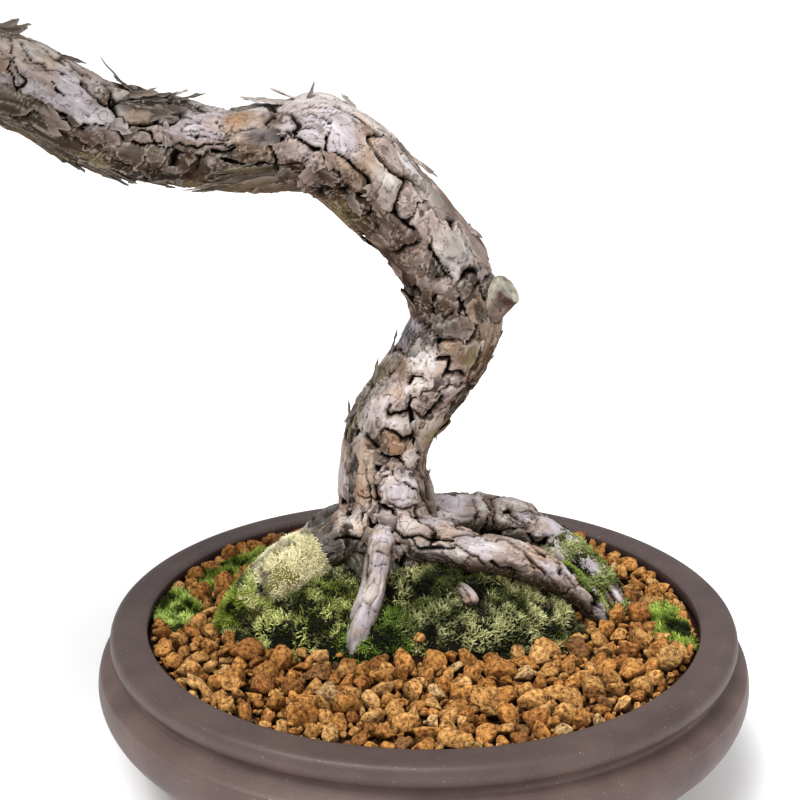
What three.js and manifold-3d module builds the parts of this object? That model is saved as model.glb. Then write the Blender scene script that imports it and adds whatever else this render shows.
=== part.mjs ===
// A japanese black pine bonsai in a round unglazed pot. Millimetres, +Z up, the pot stands on z = 0.
// Places are given from the centre of the pot's foot, and the whole group is shifted at the end so
// that the box round pot and crown is centred on the origin.
import * as THREE from "three";
import { mergeVertices } from "three/addons/utils/BufferGeometryUtils.js";
import Module from "manifold-3d";

const wasm = await Module();
wasm.setup();

// Driving dimensions of the pot
const POT_HEIGHT = 55;
const RIM_OUTER_RADIUS = 104;
const RIM_INNER_RADIUS = 93;
const BELLY_RADIUS = 110;
const BELLY_DROP = 18.3;
const BELLY_BULGE = 17.3;
const BELLY_HALF_HEIGHT = 15.3;
const FOOT_RADIUS = 79;
const FOOT_WIDTH = 12;
const FOOT_HEIGHT = 3;
const FLOOR_TOP = 7.5;
const POT_SIDES = 32;
const DRAIN_HOLE_RADIUS = 9;
const DRAIN_HOLE_Y = 30;
const WIRE_HOLE_RADIUS = 2.5;
const WIRE_HOLE_X = 52;
const NOTCH_WIDTH = 16;
const NOTCH_HEIGHT = 2;

// Driving dimensions of what fills the pot
const CLEARANCE = 0.35;
const SOIL_DROP = 3.5;
const DRAINAGE_TOP = 17;
const GRAIN_SPACING = 15;
const GRAIN_RELIEF = 3.4;
const MOUND_HEIGHT = 22;
const MOUND = { x: -6, y: 6, left: 66, right: 62, front: 41, back: 54 };

// Driving dimensions of the tree
const TRUNK_SIDES = 16;
const PLATE_RINGS = 3;
const PLATE_SIDES = 4;
const CRACK_DEPTH = 1.3;
const PLATE_RISE = 1.4;
const ROOT_SIDES = 7;
const ROOT_ROUGHNESS = 0.5;
const FLAKE_COUNT = 18;
const FLAKE_THICKNESS = 1.3;
const FLAKE_SUNK = 0.4;
const BRANCH_THICK = 5.4;
const BRANCH_THIN = 3.4;
const TWIG_THICK = 2.6;
const TWIG_THIN = 1.7;
const NEEDLE_LENGTH = 31;
const CORE_SIDES = 5;
const CORE_ROWS = 4;
const SPRAY_CORE_LENGTH = 15;
const SPRAY_CORE_RADIUS = 1.9;

// The pot's foot centre in the part's frame
const POT_X = 113;
const POT_Y = 11;

// Repeatable random numbers from 0 to 1
function seeded(seed) {
  let state = seed >>> 0;
  return () => {
    state = (state + 0x6d2b79f5) >>> 0;
    let mixed = Math.imul(state ^ (state >>> 15), 1 | state);
    mixed = (mixed + Math.imul(mixed ^ (mixed >>> 7), 61 | mixed)) ^ mixed;
    return ((mixed ^ (mixed >>> 14)) >>> 0) / 4294967296;
  };
}

const vec = (x, y, z) => new THREE.Vector3(x, y, z);

// A closed geometry as a solid that can be joined and cut
function solid(geometry) {
  geometry.deleteAttribute("normal");
  geometry.deleteAttribute("uv");
  const merged = mergeVertices(geometry, 1e-4);
  return new wasm.Manifold(new wasm.Mesh({
    numProp: 3,
    vertProperties: Float32Array.from(merged.attributes.position.array),
    triVerts: Uint32Array.from(merged.index.array),
  }));
}

function joined(solids) {
  return solids.reduce((sum, next) => sum.add(next));
}

// The largest body of a joined or cut solid, so that loose scraps are dropped and hollows that
// joining sealed are filled
function largest(cut) {
  return cut.decompose().reduce((best, body) => (body.volume() > best.volume() ? body : best));
}

function piece(name, shape, { color, roughness, metalness = 0 }) {
  const mesh = shape.getMesh();
  const stride = mesh.numProp;
  const geometry = new THREE.BufferGeometry();
  const positions = new Float32Array(mesh.numVert * 3);
  for (let i = 0; i < mesh.numVert; i += 1) {
    positions.set(mesh.vertProperties.subarray(i * stride, i * stride + 3), i * 3);
  }
  geometry.setAttribute("position", new THREE.BufferAttribute(positions, 3));
  geometry.setIndex(new THREE.BufferAttribute(Uint32Array.from(mesh.triVerts), 1));
  geometry.computeVertexNormals();
  const material = new THREE.MeshStandardMaterial({ color, roughness, metalness, flatShading: true });
  const made = new THREE.Mesh(geometry, material);
  made.name = name;
  return made;
}

function turned(profile, sides) {
  const lathe = new THREE.LatheGeometry(profile.map(([r, z]) => new THREE.Vector2(r, z)), sides);
  lathe.rotateX(Math.PI / 2);
  return solid(lathe);
}

function block(width, depth, height, x, y, z) {
  const box = new THREE.BoxGeometry(width, depth, height);
  box.translate(x, y, z);
  return solid(box);
}

function upright(radius, height, sides, x, y, z) {
  const cylinder = new THREE.CylinderGeometry(radius, radius, height, sides);
  cylinder.rotateX(Math.PI / 2);
  cylinder.translate(x, y, z);
  return solid(cylinder);
}

// A cylinder bent along a smooth curve through the given points. radiusAt gets how far along the
// curve a ring is, from 0 to 1, with the numbers of the ring and the side.
function bent(points, radiusAt, sides, steps) {
  const curve = new THREE.CatmullRomCurve3(points, false, "centripetal");
  const tube = new THREE.CylinderGeometry(1, 1, 1, sides, steps);
  const rings = [];
  let normal = vec(0.31, 0.95, 0.05);
  for (let ring = 0; ring <= steps; ring += 1) {
    const tangent = curve.getTangent(ring / steps);
    normal = normal.clone().addScaledVector(tangent, -normal.dot(tangent)).normalize();
    rings.push({ at: curve.getPoint(ring / steps), normal, side: normal.clone().cross(tangent) });
  }
  const position = tube.attributes.position;
  for (let i = 0; i < position.count; i += 1) {
    const along = position.getY(i) + 0.5;
    const ring = Math.round(along * steps);
    const angle = Math.atan2(position.getZ(i), position.getX(i));
    const sideNumber = (Math.round((angle / (2 * Math.PI)) * sides) + sides) % sides;
    const out = Math.hypot(position.getX(i), position.getZ(i));
    const radius = out < 0.5 ? 0 : radiusAt(along, ring, sideNumber);
    const place = rings[ring].at.clone();
    place.addScaledVector(rings[ring].normal, radius * Math.cos(angle));
    place.addScaledVector(rings[ring].side, radius * Math.sin(angle));
    position.setXYZ(i, place.x, place.y, place.z);
  }
  return solid(tube);
}

// A value from a list, blended between its neighbours
function blended(values, along) {
  const at = along * (values.length - 1);
  const low = Math.min(Math.floor(at), values.length - 2);
  return values[low] + (values[low + 1] - values[low]) * (at - low);
}

// Pot

function bellyCurve() {
  const centreRadius = BELLY_RADIUS - BELLY_BULGE;
  const centreZ = POT_HEIGHT - BELLY_DROP;
  const points = [];
  for (let degrees = -62; degrees <= 20; degrees += 16.4) {
    const angle = THREE.MathUtils.degToRad(degrees);
    points.push([
      centreRadius + BELLY_BULGE * Math.cos(angle), centreZ + BELLY_HALF_HEIGHT * Math.sin(angle),
    ]);
  }
  return points;
}

// The inside wall from the floor to the lip, moved in by a margin for what fills the pot
function innerWall(margin) {
  const top = POT_HEIGHT;
  return [
    [72, FLOOR_TOP], [90, top - 40], [99, top - 29], [102.5, top - 19], [99, top - 11.5], [94, top - 6],
    [RIM_INNER_RADIUS, top - 0.8],
  ].map(([r, z]) => [r - margin, z]);
}

function makePot() {
  const top = POT_HEIGHT;
  const rim = [
    [106.4, top - 11.7], [102.6, top - 9.6], [103, top - 7.4], [RIM_OUTER_RADIUS + 0.6, top - 6],
    [RIM_OUTER_RADIUS + 1.4, top - 3.2], [RIM_OUTER_RADIUS, top - 0.3], [98, top],
    [RIM_INNER_RADIUS + 0.8, top - 0.1],
  ];
  const foot = [
    [0, FOOT_HEIGHT], [FOOT_RADIUS - FOOT_WIDTH - 1, FOOT_HEIGHT], [FOOT_RADIUS - FOOT_WIDTH, 0],
    [FOOT_RADIUS - 0.5, 0], [FOOT_RADIUS, 4], [84, 9.5], [92, 15.5],
  ];
  const inside = innerWall(0).reverse();
  let pot = turned([...foot, ...bellyCurve(), ...rim, ...inside, [0, FLOOR_TOP]], POT_SIDES);
  for (const side of [-1, 1]) {
    pot = pot.subtract(upright(DRAIN_HOLE_RADIUS, 20, 20, 0, side * DRAIN_HOLE_Y, 5));
    pot = pot.subtract(upright(WIRE_HOLE_RADIUS, 20, 10, side * WIRE_HOLE_X, 0, 5));
  }
  for (const degrees of [90, 210, 330]) {
    const notch = new THREE.BoxGeometry(2 * FOOT_WIDTH, NOTCH_WIDTH, 2 * NOTCH_HEIGHT);
    notch.translate(FOOT_RADIUS - FOOT_WIDTH / 2, 0, 0);
    notch.rotateZ(THREE.MathUtils.degToRad(degrees));
    pot = pot.subtract(solid(notch));
  }
  return pot;
}

// Drain screens, their clips and the tie-down wire

const SCREEN_SIZE = 28;
const SCREEN_THICKNESS = 1.2;
const SCREEN_OPENING = 10;
const SCREEN_PITCH = 13;
const CLIP_OFFSET = 5;

function makeScreen(y) {
  const middle = FLOOR_TOP + CLEARANCE + SCREEN_THICKNESS / 2;
  let screen = block(SCREEN_SIZE, SCREEN_SIZE, SCREEN_THICKNESS, 0, y, middle);
  for (const column of [-0.5, 0.5]) {
    for (const row of [-0.5, 0.5]) {
      const [dx, dy] = [column * SCREEN_PITCH, row * SCREEN_PITCH];
      screen = screen.subtract(block(SCREEN_OPENING, SCREEN_OPENING, 4, dx, y + dy, middle));
    }
  }
  return screen;
}

// The clip lies on the screen, its legs go down through two of the screen's openings and the drain
// hole, and its feet grip under the floor
function makeClip(screenY) {
  const wire = 0.7;
  const y = screenY + CLIP_OFFSET;
  const over = FLOOR_TOP + CLEARANCE + SCREEN_THICKNESS + CLEARANCE + wire;
  const under = FOOT_HEIGHT - CLEARANCE - wire;
  const halfSpan = [
    vec(3.4, y, over), vec(CLIP_OFFSET, y, over - 1.6), vec(CLIP_OFFSET, y, under + 1.4),
    vec(7, y, under), vec(11, y, under),
  ];
  const otherHalf = halfSpan.map((at) => vec(-at.x, at.y, at.z)).reverse();
  return bent([...otherHalf, ...halfSpan], () => wire, 4, 14);
}

// The wire crosses under the floor inside the foot ring and comes up through the wire holes
const TIE_UNDER_Z = 1.7;
const TIE_POINTS = [
  vec(-44, 6, 46), vec(-49, 2, 42), vec(-WIRE_HOLE_X, 0, 34), vec(-WIRE_HOLE_X, 0, 20),
  vec(-WIRE_HOLE_X, 0, 4), vec(-WIRE_HOLE_X + 3, 0, TIE_UNDER_Z), vec(-30, 0, TIE_UNDER_Z),
  vec(0, 0, TIE_UNDER_Z), vec(30, 0, TIE_UNDER_Z), vec(WIRE_HOLE_X - 3, 0, TIE_UNDER_Z),
  vec(WIRE_HOLE_X, 0, 4), vec(WIRE_HOLE_X, 0, 20), vec(WIRE_HOLE_X, 0, 34),
  vec(49, 2, 42), vec(44, 6, 46),
];

function makeTie(margin) {
  return bent(TIE_POINTS, () => 1 + margin, 4, 24);
}

// Trunk and roots

// Centreline of the trunk, from inside the soil up to the tip of the crown, with its radius
const TRUNK = [
  [-12, 5, 56, 17], [-12, 4, 68, 20.5], [-12, 4, 80, 17], [-13, 5, 94, 15.4],
  [-13.4, 5, 106, 14.3], [-11, 5, 118, 14.5], [-3.8, 5, 131, 14.8], [5, 4, 143.5, 14.9],
  [10.7, 2, 157, 14.5], [7, 0, 171.5, 14.3], [-1.7, -2, 184.7, 13.8], [-11.7, -5, 196.7, 13.7],
  [-22.7, -8, 208, 14.8], [-33.5, -10, 214.5, 15], [-46, -12, 214, 12.9], [-59.4, -14, 213.4, 12.1],
  [-74.2, -16, 216.4, 12.9], [-88.7, -19, 219.2, 13.4], [-102.8, -22, 224.3, 13.4],
  [-116.4, -25, 232.8, 13.2], [-130, -28, 240, 12.8], [-147, -30, 249, 12.4], [-164, -29, 261, 12],
  [-180, -25, 276, 11.2], [-192, -18, 293, 10.2], [-199, -8, 310, 8.8], [-200, 2, 327, 7.2],
  [-197, 9, 344, 5.6], [-195.5, 10.5, 350, 5],
];
const TRUNK_STEPS = 60;

// Roots from the trunk's base over the mound and down into the soil
const ROOTS = {
  front: [
    [-12, -4, 90, 6], [-13.6, -13.5, 85.5, 4.6], [-14.6, -17.5, 81, 4], [-15.6, -19.5, 75.5, 3.7],
    [-17.2, -22, 69.5, 3.8], [-19.5, -25, 64, 4.2], [-21.5, -28, 58.5, 4], [-24, -32.5, 50, 3],
  ],
  right: [
    [-12, 0, 82, 9], [3, -8, 84, 7.4], [16.5, -12, 81.8, 6.9], [27.4, -12, 79.8, 6.3],
    [38.5, -10, 74.7, 6], [46.8, -8, 69.2, 5.4], [53.9, -5, 62.1, 4.6], [59.5, -3, 53, 3.6],
    [64, 0, 46, 2.6],
  ],
  back_right: [
    [-8, 6, 82, 9], [8, 14, 85, 7.8], [21, 20, 82.4, 7.6], [32, 22, 78.7, 7.7], [41.4, 22, 73, 7.4],
    [50.7, 18, 67.7, 6.6], [59.5, 14, 61.9, 5.6], [66, 10, 55, 4.4], [71, 8, 47, 3],
  ],
  left: [
    [-14, 4, 84, 10], [-24, 0, 83.5, 8.8], [-33, -5, 80, 7.7], [-42, -8, 75.5, 7.2],
    [-51, -9, 67.5, 6.6], [-59, -9, 59, 5.4], [-65, -8, 50, 3.6],
  ],
  back_left: [
    [-14, 8, 82, 10], [-24, 20, 78.5, 8.4], [-32, 32, 73, 7], [-39, 44, 65, 5.8], [-45, 54, 55, 4.2],
    [-49, 60, 48, 3],
  ],
  back: [
    [-10, 10, 80, 9], [-4, 26, 76.5, 7.6], [2, 40, 70, 6.2], [8, 52, 60, 4.8], [12, 60, 50, 3.2],
  ],
};

// The cut branch stub at the trunk's right elbow
const STUB = [[9, 1, 154, 9], [16, -2, 160, 7.6], [22.5, -4.5, 165.5, 6], [26.5, -6, 168.8, 5.2]];

const vectors = (path) => path.map(([x, y, z]) => vec(x, y, z));
const radii = (path) => path.map((point) => point[3]);

// Bark splits into plates, three rings long and four sides wide, staggered row by row. The cracks
// between them are cut in and each plate stands out by its own amount.
function barkRelief(ring, side) {
  const row = Math.floor(ring / PLATE_RINGS);
  const shift = Math.floor(seeded(row * 17 + 3)() * PLATE_SIDES);
  const column = Math.floor((side + shift) / PLATE_SIDES);
  const inCrack = ring % PLATE_RINGS === 0 || (side + shift) % PLATE_SIDES === 0;
  const plateHeight = seeded(row * 101 + column * 13 + 7)();
  const crackDepth = seeded(ring * 211 + side * 31 + 5)();
  return inCrack ? -CRACK_DEPTH * (0.4 + 0.6 * crackDepth) : PLATE_RISE * (1.2 * plateHeight - 0.2);
}

// A margin above zero gives the room that soil, moss and branches leave round the wood
function rootTube(path, margin) {
  const values = radii(path);
  const radiusAt = (along, ring, side) => {
    const worn = ROOT_ROUGHNESS * seeded(ring * 37 + side * 5 + 11)();
    return blended(values, along) - worn + margin;
  };
  return bent(vectors(path), radiusAt, ROOT_SIDES, Math.round((path.length - 1) * 1.25));
}

function trunkTube(margin) {
  const values = radii(TRUNK);
  const radiusAt = (along, ring, side) => {
    const fade = Math.min(1, 10 * (1 - along));
    return blended(values, along) + fade * barkRelief(ring, side) + margin;
  };
  return bent(vectors(TRUNK), radiusAt, TRUNK_SIDES, TRUNK_STEPS);
}

// Branches, twigs and needle sprays of the crown

// Each pad of foliage: where its branch leaves the trunk, its middle and its half widths
const PADS = [
  { name: "left", root: [-164, -29, 261], centre: [-258, -52, 283], half: [40, 33] },
  { name: "front", root: [-184, -23, 281], centre: [-168, -88, 300], half: [36, 28] },
  { name: "back", root: [-176, -27, 272], centre: [-176, 62, 292], half: [40, 30] },
  { name: "upper_left", root: [-195, -14, 300], centre: [-262, 26, 322], half: [36, 31] },
  { name: "upper_right", root: [-199, -6, 313], centre: [-136, -22, 334], half: [36, 32] },
  { name: "top", root: [-196, 10, 346], centre: [-182, 16, 372], half: [44, 40] },
];
const SPRAYS_A_PAD = 6;
const PAD_DOME = 12;
const GOLDEN_ANGLE = Math.PI * (3 - Math.sqrt(5));

function padPlan(pad, padNumber) {
  const [cx, cy, cz] = pad.centre;
  const start = vec(...pad.root);
  const end = vec(cx, cy, cz - 12);
  const branch = [start, start.clone().lerp(end, 0.5).add(vec(0, 0, -3)), end];
  const line = new THREE.LineCurve3(start.clone().lerp(end, 0.4), end);
  const twigs = [];
  for (let i = 0; i < SPRAYS_A_PAD; i += 1) {
    const out = Math.sqrt((i + 0.25) / SPRAYS_A_PAD);
    const angle = i * GOLDEN_ANGLE + padNumber * 1.3;
    const x = cx + pad.half[0] * out * Math.cos(angle);
    const y = cy + pad.half[1] * out * Math.sin(angle);
    const base = vec(x, y, cz + PAD_DOME * (1 - out * out) - 4);
    const reach = line.v2.clone().sub(line.v1);
    const beside = base.clone().sub(line.v1).dot(reach) / reach.lengthSq();
    const leaves = line.getPoint(THREE.MathUtils.clamp(beside - 0.25, 0, 1));
    const knee = leaves.clone().lerp(vec(x, y, end.z + 2), 0.7);
    twigs.push([leaves, knee, base]);
  }
  return { branch, twigs };
}

const CROWN = PADS.map(padPlan);

// Sprays stand on the ends of the twigs, in line with them
const SPRAY_SEATS = CROWN.flatMap(({ twigs }) => twigs.map((twig) => {
  const curve = new THREE.CatmullRomCurve3(twig, false, "centripetal");
  const axis = curve.getTangent(1).normalize();
  return { base: twig[2], axis, middle: twig[2].clone().addScaledVector(axis, SPRAY_CORE_LENGTH) };
}));

// Points along all the wood of the crown with its radius there, to keep the needles off it
function crownWood() {
  const wood = [];
  const follow = (points, thick, thin) => {
    const curve = new THREE.CatmullRomCurve3(points, false, "centripetal");
    for (let i = 0; i <= 12; i += 1) {
      wood.push({ at: curve.getPoint(i / 12), radius: thick + (thin - thick) * (i / 12) });
    }
  };
  CROWN.forEach(({ branch, twigs }) => {
    follow(branch, BRANCH_THICK, BRANCH_THIN);
    twigs.forEach((twig) => follow(twig, TWIG_THICK, TWIG_THIN));
  });
  TRUNK.slice(19).forEach(([x, y, z, r]) => wood.push({ at: vec(x, y, z), radius: r + 2 }));
  return wood;
}

const CROWN_WOOD = crownWood();

// A bark flake: a thin plate, narrower and thinner at its free end, which points along x
function flakeShape(length, width) {
  const plate = new THREE.BoxGeometry(length, width, FLAKE_THICKNESS);
  const position = plate.attributes.position;
  for (let i = 0; i < position.count; i += 1) {
    if (position.getX(i) > 0) {
      position.setY(i, position.getY(i) * 0.4);
      position.setZ(i, position.getZ(i) * 0.6);
    }
  }
  plate.translate(length * 0.25, 0, 0);
  return plate;
}

// Flakes stand off the trunk in turn round it, by the golden angle, leaning up it or down it
function makeFlakes() {
  const random = seeded(41);
  const curve = new THREE.CatmullRomCurve3(vectors(TRUNK), false, "centripetal");
  return Array.from({ length: FLAKE_COUNT }, (unused, i) => {
    const along = 0.16 + 0.6 * ((i + random()) / FLAKE_COUNT);
    const tangent = curve.getTangent(along);
    const out = vec(0, 1, 0).cross(tangent).normalize().applyAxisAngle(tangent, i * GOLDEN_ANGLE);
    const flake = flakeShape(9 + 6 * random(), 5 + 4 * random());
    const lean = 0.3 + 0.3 * random();
    const pointing = tangent.multiplyScalar(i % 2 === 0 ? Math.cos(lean) : -Math.cos(lean));
    pointing.addScaledVector(out, Math.sin(lean)).normalize();
    const across = out.clone().cross(pointing).normalize();
    flake.applyMatrix4(new THREE.Matrix4().makeBasis(pointing, across, pointing.clone().cross(across)));
    const seat = curve.getPoint(along).addScaledVector(out, blended(radii(TRUNK), along) - FLAKE_SUNK);
    flake.translate(seat.x, seat.y, seat.z);
    return solid(flake);
  });
}

function branchTube(points) {
  const radiusAt = (along, ring, side) => {
    const knobbly = 0.5 * (seeded(ring * 7 + side)() - 0.5);
    return BRANCH_THICK + (BRANCH_THIN - BRANCH_THICK) * along + knobbly;
  };
  return bent(points, radiusAt, 6, 7);
}

function twigTube(points) {
  return bent(points, (along) => TWIG_THICK + (TWIG_THIN - TWIG_THICK) * along, 4, 2);
}

// The trunk with its roots, the cut stub and the loose flakes of its bark
function makeTrunk() {
  const wood = [trunkTube(0), ...Object.values(ROOTS).map((path) => rootTube(path, 0))];
  wood.push(bent(vectors(STUB), (along) => blended(radii(STUB), along), 10, 5));
  return largest(joined([...wood, ...makeFlakes()]));
}

// A branch with its twigs, from the trunk's bark outwards
function makeBranch({ branch, twigs }) {
  const trunk = trunkTube(CLEARANCE);
  const wood = joined([branchTube(branch), ...twigs.map(twigTube)]);
  return largest(wood.subtract(trunk).subtract(trunk.translate([0, 0, CLEARANCE])));
}

// How long a needle may be before it leaves its own spray's room or touches wood
function freeLength(seatNumber, foot, direction) {
  const own = SPRAY_SEATS[seatNumber];
  let free = NEEDLE_LENGTH;
  SPRAY_SEATS.forEach((other, i) => {
    const apart = other.middle.clone().sub(own.middle);
    const gap = apart.length();
    if (i !== seatNumber && gap < 4 * NEEDLE_LENGTH) {
      apart.normalize();
      const halfway = own.middle.clone().addScaledVector(apart, gap / 2);
      const towards = direction.dot(apart);
      const room = halfway.sub(foot).dot(apart) - 1.2;
      if (towards > 0) {
        free = Math.min(free, room / towards);
      }
    }
  });
  for (const { at, radius } of CROWN_WOOD) {
    const toWood = at.clone().sub(foot);
    const along = Math.max(0, Math.min(free, toWood.dot(direction)));
    const miss = toWood.addScaledVector(direction, -along).length();
    if (miss < radius + 3 && along > 6) {
      free = Math.min(free, along - 5);
    }
  }
  return free;
}

// The tip of a needle that grows from a place on the core. It leans out most at the foot of the
// spray and least at its top, and is bent up where its neighbours or wood leave it no room.
function needleTip(seatNumber, foot, up, random) {
  const { base, axis } = SPRAY_SEATS[seatNumber];
  const outward = foot.clone().sub(base);
  outward.addScaledVector(axis, -outward.dot(axis)).normalize();
  let spread = THREE.MathUtils.degToRad(80 - 56 * up + 10 * (random() - 0.5));
  let direction = axis;
  let length = 0;
  while (length < NEEDLE_LENGTH * 0.8 && spread > 0.1) {
    direction = axis.clone().multiplyScalar(Math.cos(spread)).addScaledVector(outward, Math.sin(spread));
    length = freeLength(seatNumber, foot, direction);
    spread -= 0.08;
  }
  return foot.clone().addScaledVector(direction, Math.max(length, NEEDLE_LENGTH * 0.2));
}

// A slim five-sided core whose wall is cut into triangles. Every second one is drawn out to a
// three-sided needle, and so is the top.
function makeSpray(seatNumber) {
  const { base, axis } = SPRAY_SEATS[seatNumber];
  const random = seeded(seatNumber * 97 + 19);
  const core = new THREE.CylinderGeometry(
    SPRAY_CORE_RADIUS * 0.6, SPRAY_CORE_RADIUS, SPRAY_CORE_LENGTH, CORE_SIDES, CORE_ROWS);
  core.deleteAttribute("normal");
  core.deleteAttribute("uv");
  core.translate(0, SPRAY_CORE_LENGTH / 2, 0);
  const merged = mergeVertices(core, 1e-4);
  const index = merged.index.array;
  const points = Array.from(merged.attributes.position.array);
  const faces = [];
  for (let i = 0; i < index.length; i += 3) {
    const corners = [index[i], index[i + 1], index[i + 2]];
    const places = corners.map((k) => vec(...points.slice(3 * k, 3 * k + 3)));
    const middle = places[0].clone().add(places[1]).add(places[2]).multiplyScalar(1 / 3);
    const up = middle.y / SPRAY_CORE_LENGTH;
    const grows = up > 0.1 && up < 0.999 && (i / 3) % 2 === 0;
    if (grows || (up >= 0.999 && i % 2 === 0)) {
      const turn = new THREE.Quaternion().setFromUnitVectors(vec(0, 1, 0), axis);
      const foot = middle.clone().applyQuaternion(turn).add(base);
      const tip = needleTip(seatNumber, foot, up, random).sub(base).applyQuaternion(turn.invert());
      const end = points.push(tip.x, tip.y, tip.z) / 3 - 1;
      corners.forEach((corner, k) => faces.push(corner, corners[(k + 1) % 3], end));
    } else {
      faces.push(...corners);
    }
  }
  const spray = new THREE.BufferGeometry();
  spray.setAttribute("position", new THREE.Float32BufferAttribute(points, 3));
  spray.setIndex(faces);
  spray.translate(0, CLEARANCE, 0);
  spray.applyQuaternion(new THREE.Quaternion().setFromUnitVectors(vec(0, 1, 0), axis));
  spray.translate(base.x, base.y, base.z);
  return solid(spray);
}

// Soil and moss

function moundRadius(x, y) {
  const dx = x - MOUND.x;
  const dy = y - MOUND.y;
  return Math.hypot(dx / (dx < 0 ? MOUND.left : MOUND.right), dy / (dy < 0 ? MOUND.front : MOUND.back));
}

function soilHeight(x, y) {
  const mound = Math.max(0, 1 - moundRadius(x, y) ** 2) ** 0.62;
  return POT_HEIGHT - SOIL_DROP + MOUND_HEIGHT * mound;
}

// The bed's top is cut into cells, one for each grain. Cells under the moss are flat, and each of
// the others rises to a crown of three shoulders and a middle.
function grainField() {
  const positions = [];
  const faces = [];
  const columns = Math.ceil(RIM_OUTER_RADIUS / GRAIN_SPACING) + 1;
  const corner = (x, y) => {
    const random = seeded(Math.round(x * 10) * 7919 + Math.round(y * 10) * 104729 + 17);
    const px = x + (random() - 0.5) * GRAIN_SPACING * 0.36;
    const py = y + (random() - 0.5) * GRAIN_SPACING * 0.36;
    return vec(px, py, soilHeight(px, py) - 0.8 * random());
  };
  const side = GRAIN_SPACING / Math.sqrt(3);
  for (let row = -columns; row <= columns; row += 1) {
    for (let column = -columns; column <= columns; column += 1) {
      const cx = (column + (row % 2 === 0 ? 0 : 0.5)) * GRAIN_SPACING;
      const cy = row * side * 1.5;
      if (Math.hypot(cx, cy) < RIM_OUTER_RADIUS + GRAIN_SPACING) {
        const ring = [];
        for (let k = 0; k < 6; k += 1) {
          const angle = (k + 0.5) * (Math.PI / 3);
          ring.push(corner(cx + side * Math.cos(angle), cy + side * Math.sin(angle)));
        }
        addGrain(positions, faces, ring, seeded(row * 977 + column * 31 + 271));
      }
    }
  }
  return { positions, faces };
}

function addGrain(positions, faces, ring, random) {
  const middle = ring.reduce((sum, at) => sum.add(at), vec(0, 0, 0)).multiplyScalar(1 / 6);
  const add = (at) => positions.push(at) - 1;
  const outer = ring.map(add);
  const centre = add(middle);
  if (moundRadius(middle.x, middle.y) < 0.93) {
    outer.forEach((at, k) => faces.push([at, outer[(k + 1) % 6], centre]));
    return;
  }
  const rise = GRAIN_RELIEF * (0.65 + 0.6 * random());
  positions[centre].z = soilHeight(middle.x, middle.y) + rise;
  const shoulders = [0, 1, 2].map((k) => {
    const at = ring[2 * k].clone().lerp(ring[2 * k + 1], 0.5).lerp(middle, 0.38);
    at.z = soilHeight(at.x, at.y) + rise * (0.6 + 0.35 * random());
    return add(at);
  });
  for (let k = 0; k < 3; k += 1) {
    const next = (k + 1) % 3;
    const after = outer[(2 * k + 2) % 6];
    faces.push([outer[2 * k], outer[2 * k + 1], shoulders[k]]);
    faces.push([outer[2 * k + 1], after, shoulders[next]]);
    faces.push([outer[2 * k + 1], shoulders[next], shoulders[k]]);
    faces.push([shoulders[k], shoulders[next], centre]);
  }
}

// The field's top closed with side walls and a flat bottom well below the pot's floor
function closedField({ positions, faces }) {
  const merged = new THREE.BufferGeometry().setFromPoints(positions);
  merged.setIndex(faces.flat());
  const top = mergeVertices(merged, 1e-4);
  const index = Array.from(top.index.array);
  const points = Array.from(top.attributes.position.array);
  const edges = new Map();
  for (let i = 0; i < index.length; i += 3) {
    for (let k = 0; k < 3; k += 1) {
      edges.set(`${index[i + k]} ${index[i + ((k + 1) % 3)]}`, [index[i + k], index[i + ((k + 1) % 3)]]);
    }
  }
  const border = [...edges.values()].filter(([a, b]) => !edges.has(`${b} ${a}`));
  const lowered = new Map();
  const low = (i) => {
    if (!lowered.has(i)) {
      lowered.set(i, points.length / 3);
      points.push(points[3 * i], points[3 * i + 1], -10);
    }
    return lowered.get(i);
  };
  const centre = points.length / 3;
  points.push(0, 0, -10);
  border.forEach(([a, b]) => {
    index.push(b, a, low(a), b, low(a), low(b), low(b), low(a), centre);
  });
  const closed = new THREE.BufferGeometry();
  closed.setAttribute("position", new THREE.Float32BufferAttribute(points, 3));
  closed.setIndex(index);
  return solid(closed);
}

function makeBed(field) {
  const wall = innerWall(CLEARANCE).filter((point, i) => i === 3 || i > 4);
  const inside = turned([
    [0, DRAINAGE_TOP + CLEARANCE], [90, DRAINAGE_TOP + CLEARANCE], ...wall,
    [RIM_INNER_RADIUS - CLEARANCE, POT_HEIGHT + 40], [0, POT_HEIGHT + 40],
  ], POT_SIDES);
  return field.intersect(inside);
}

function makeDrainage() {
  let layer = turned([
    [0, FLOOR_TOP + CLEARANCE], [71.5, FLOOR_TOP + CLEARANCE], [89, DRAINAGE_TOP - 2],
    [90, DRAINAGE_TOP], [0, DRAINAGE_TOP],
  ], POT_SIDES / 2);
  for (const side of [-1, 1]) {
    layer = layer.subtract(block(SCREEN_SIZE + 1, SCREEN_SIZE + 1, 10, 0, side * DRAIN_HOLE_Y, 6.5));
  }
  return layer.subtract(makeTie(CLEARANCE));
}

// Cushions of moss: middle, half widths, turn in degrees and thickness
const MOSS = [
  { name: "moss_left", at: [-44, -16], half: [28, 15], turn: -16, thick: 6, green: 0x55661f },
  { name: "moss_right", at: [24, -19], half: [35, 13], turn: 16, thick: 5, green: 0x3f501d },
  { name: "moss_far_left", at: [-84, 4], half: [8, 17], turn: 10, thick: 3.5, green: 0x7f8a2e },
  { name: "moss_back_left", at: [-58, 42], half: [30, 15], turn: 42, thick: 4, green: 0x69782a },
  { name: "moss_right_rim", at: [83.5, -5], half: [6.5, 21], turn: 4, thick: 3.5, green: 0x69782a },
  { name: "lichen_left_root", at: [-46, 6], half: [14, 9], turn: 30, thick: 10, green: 0xb3ac68 },
];

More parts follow.
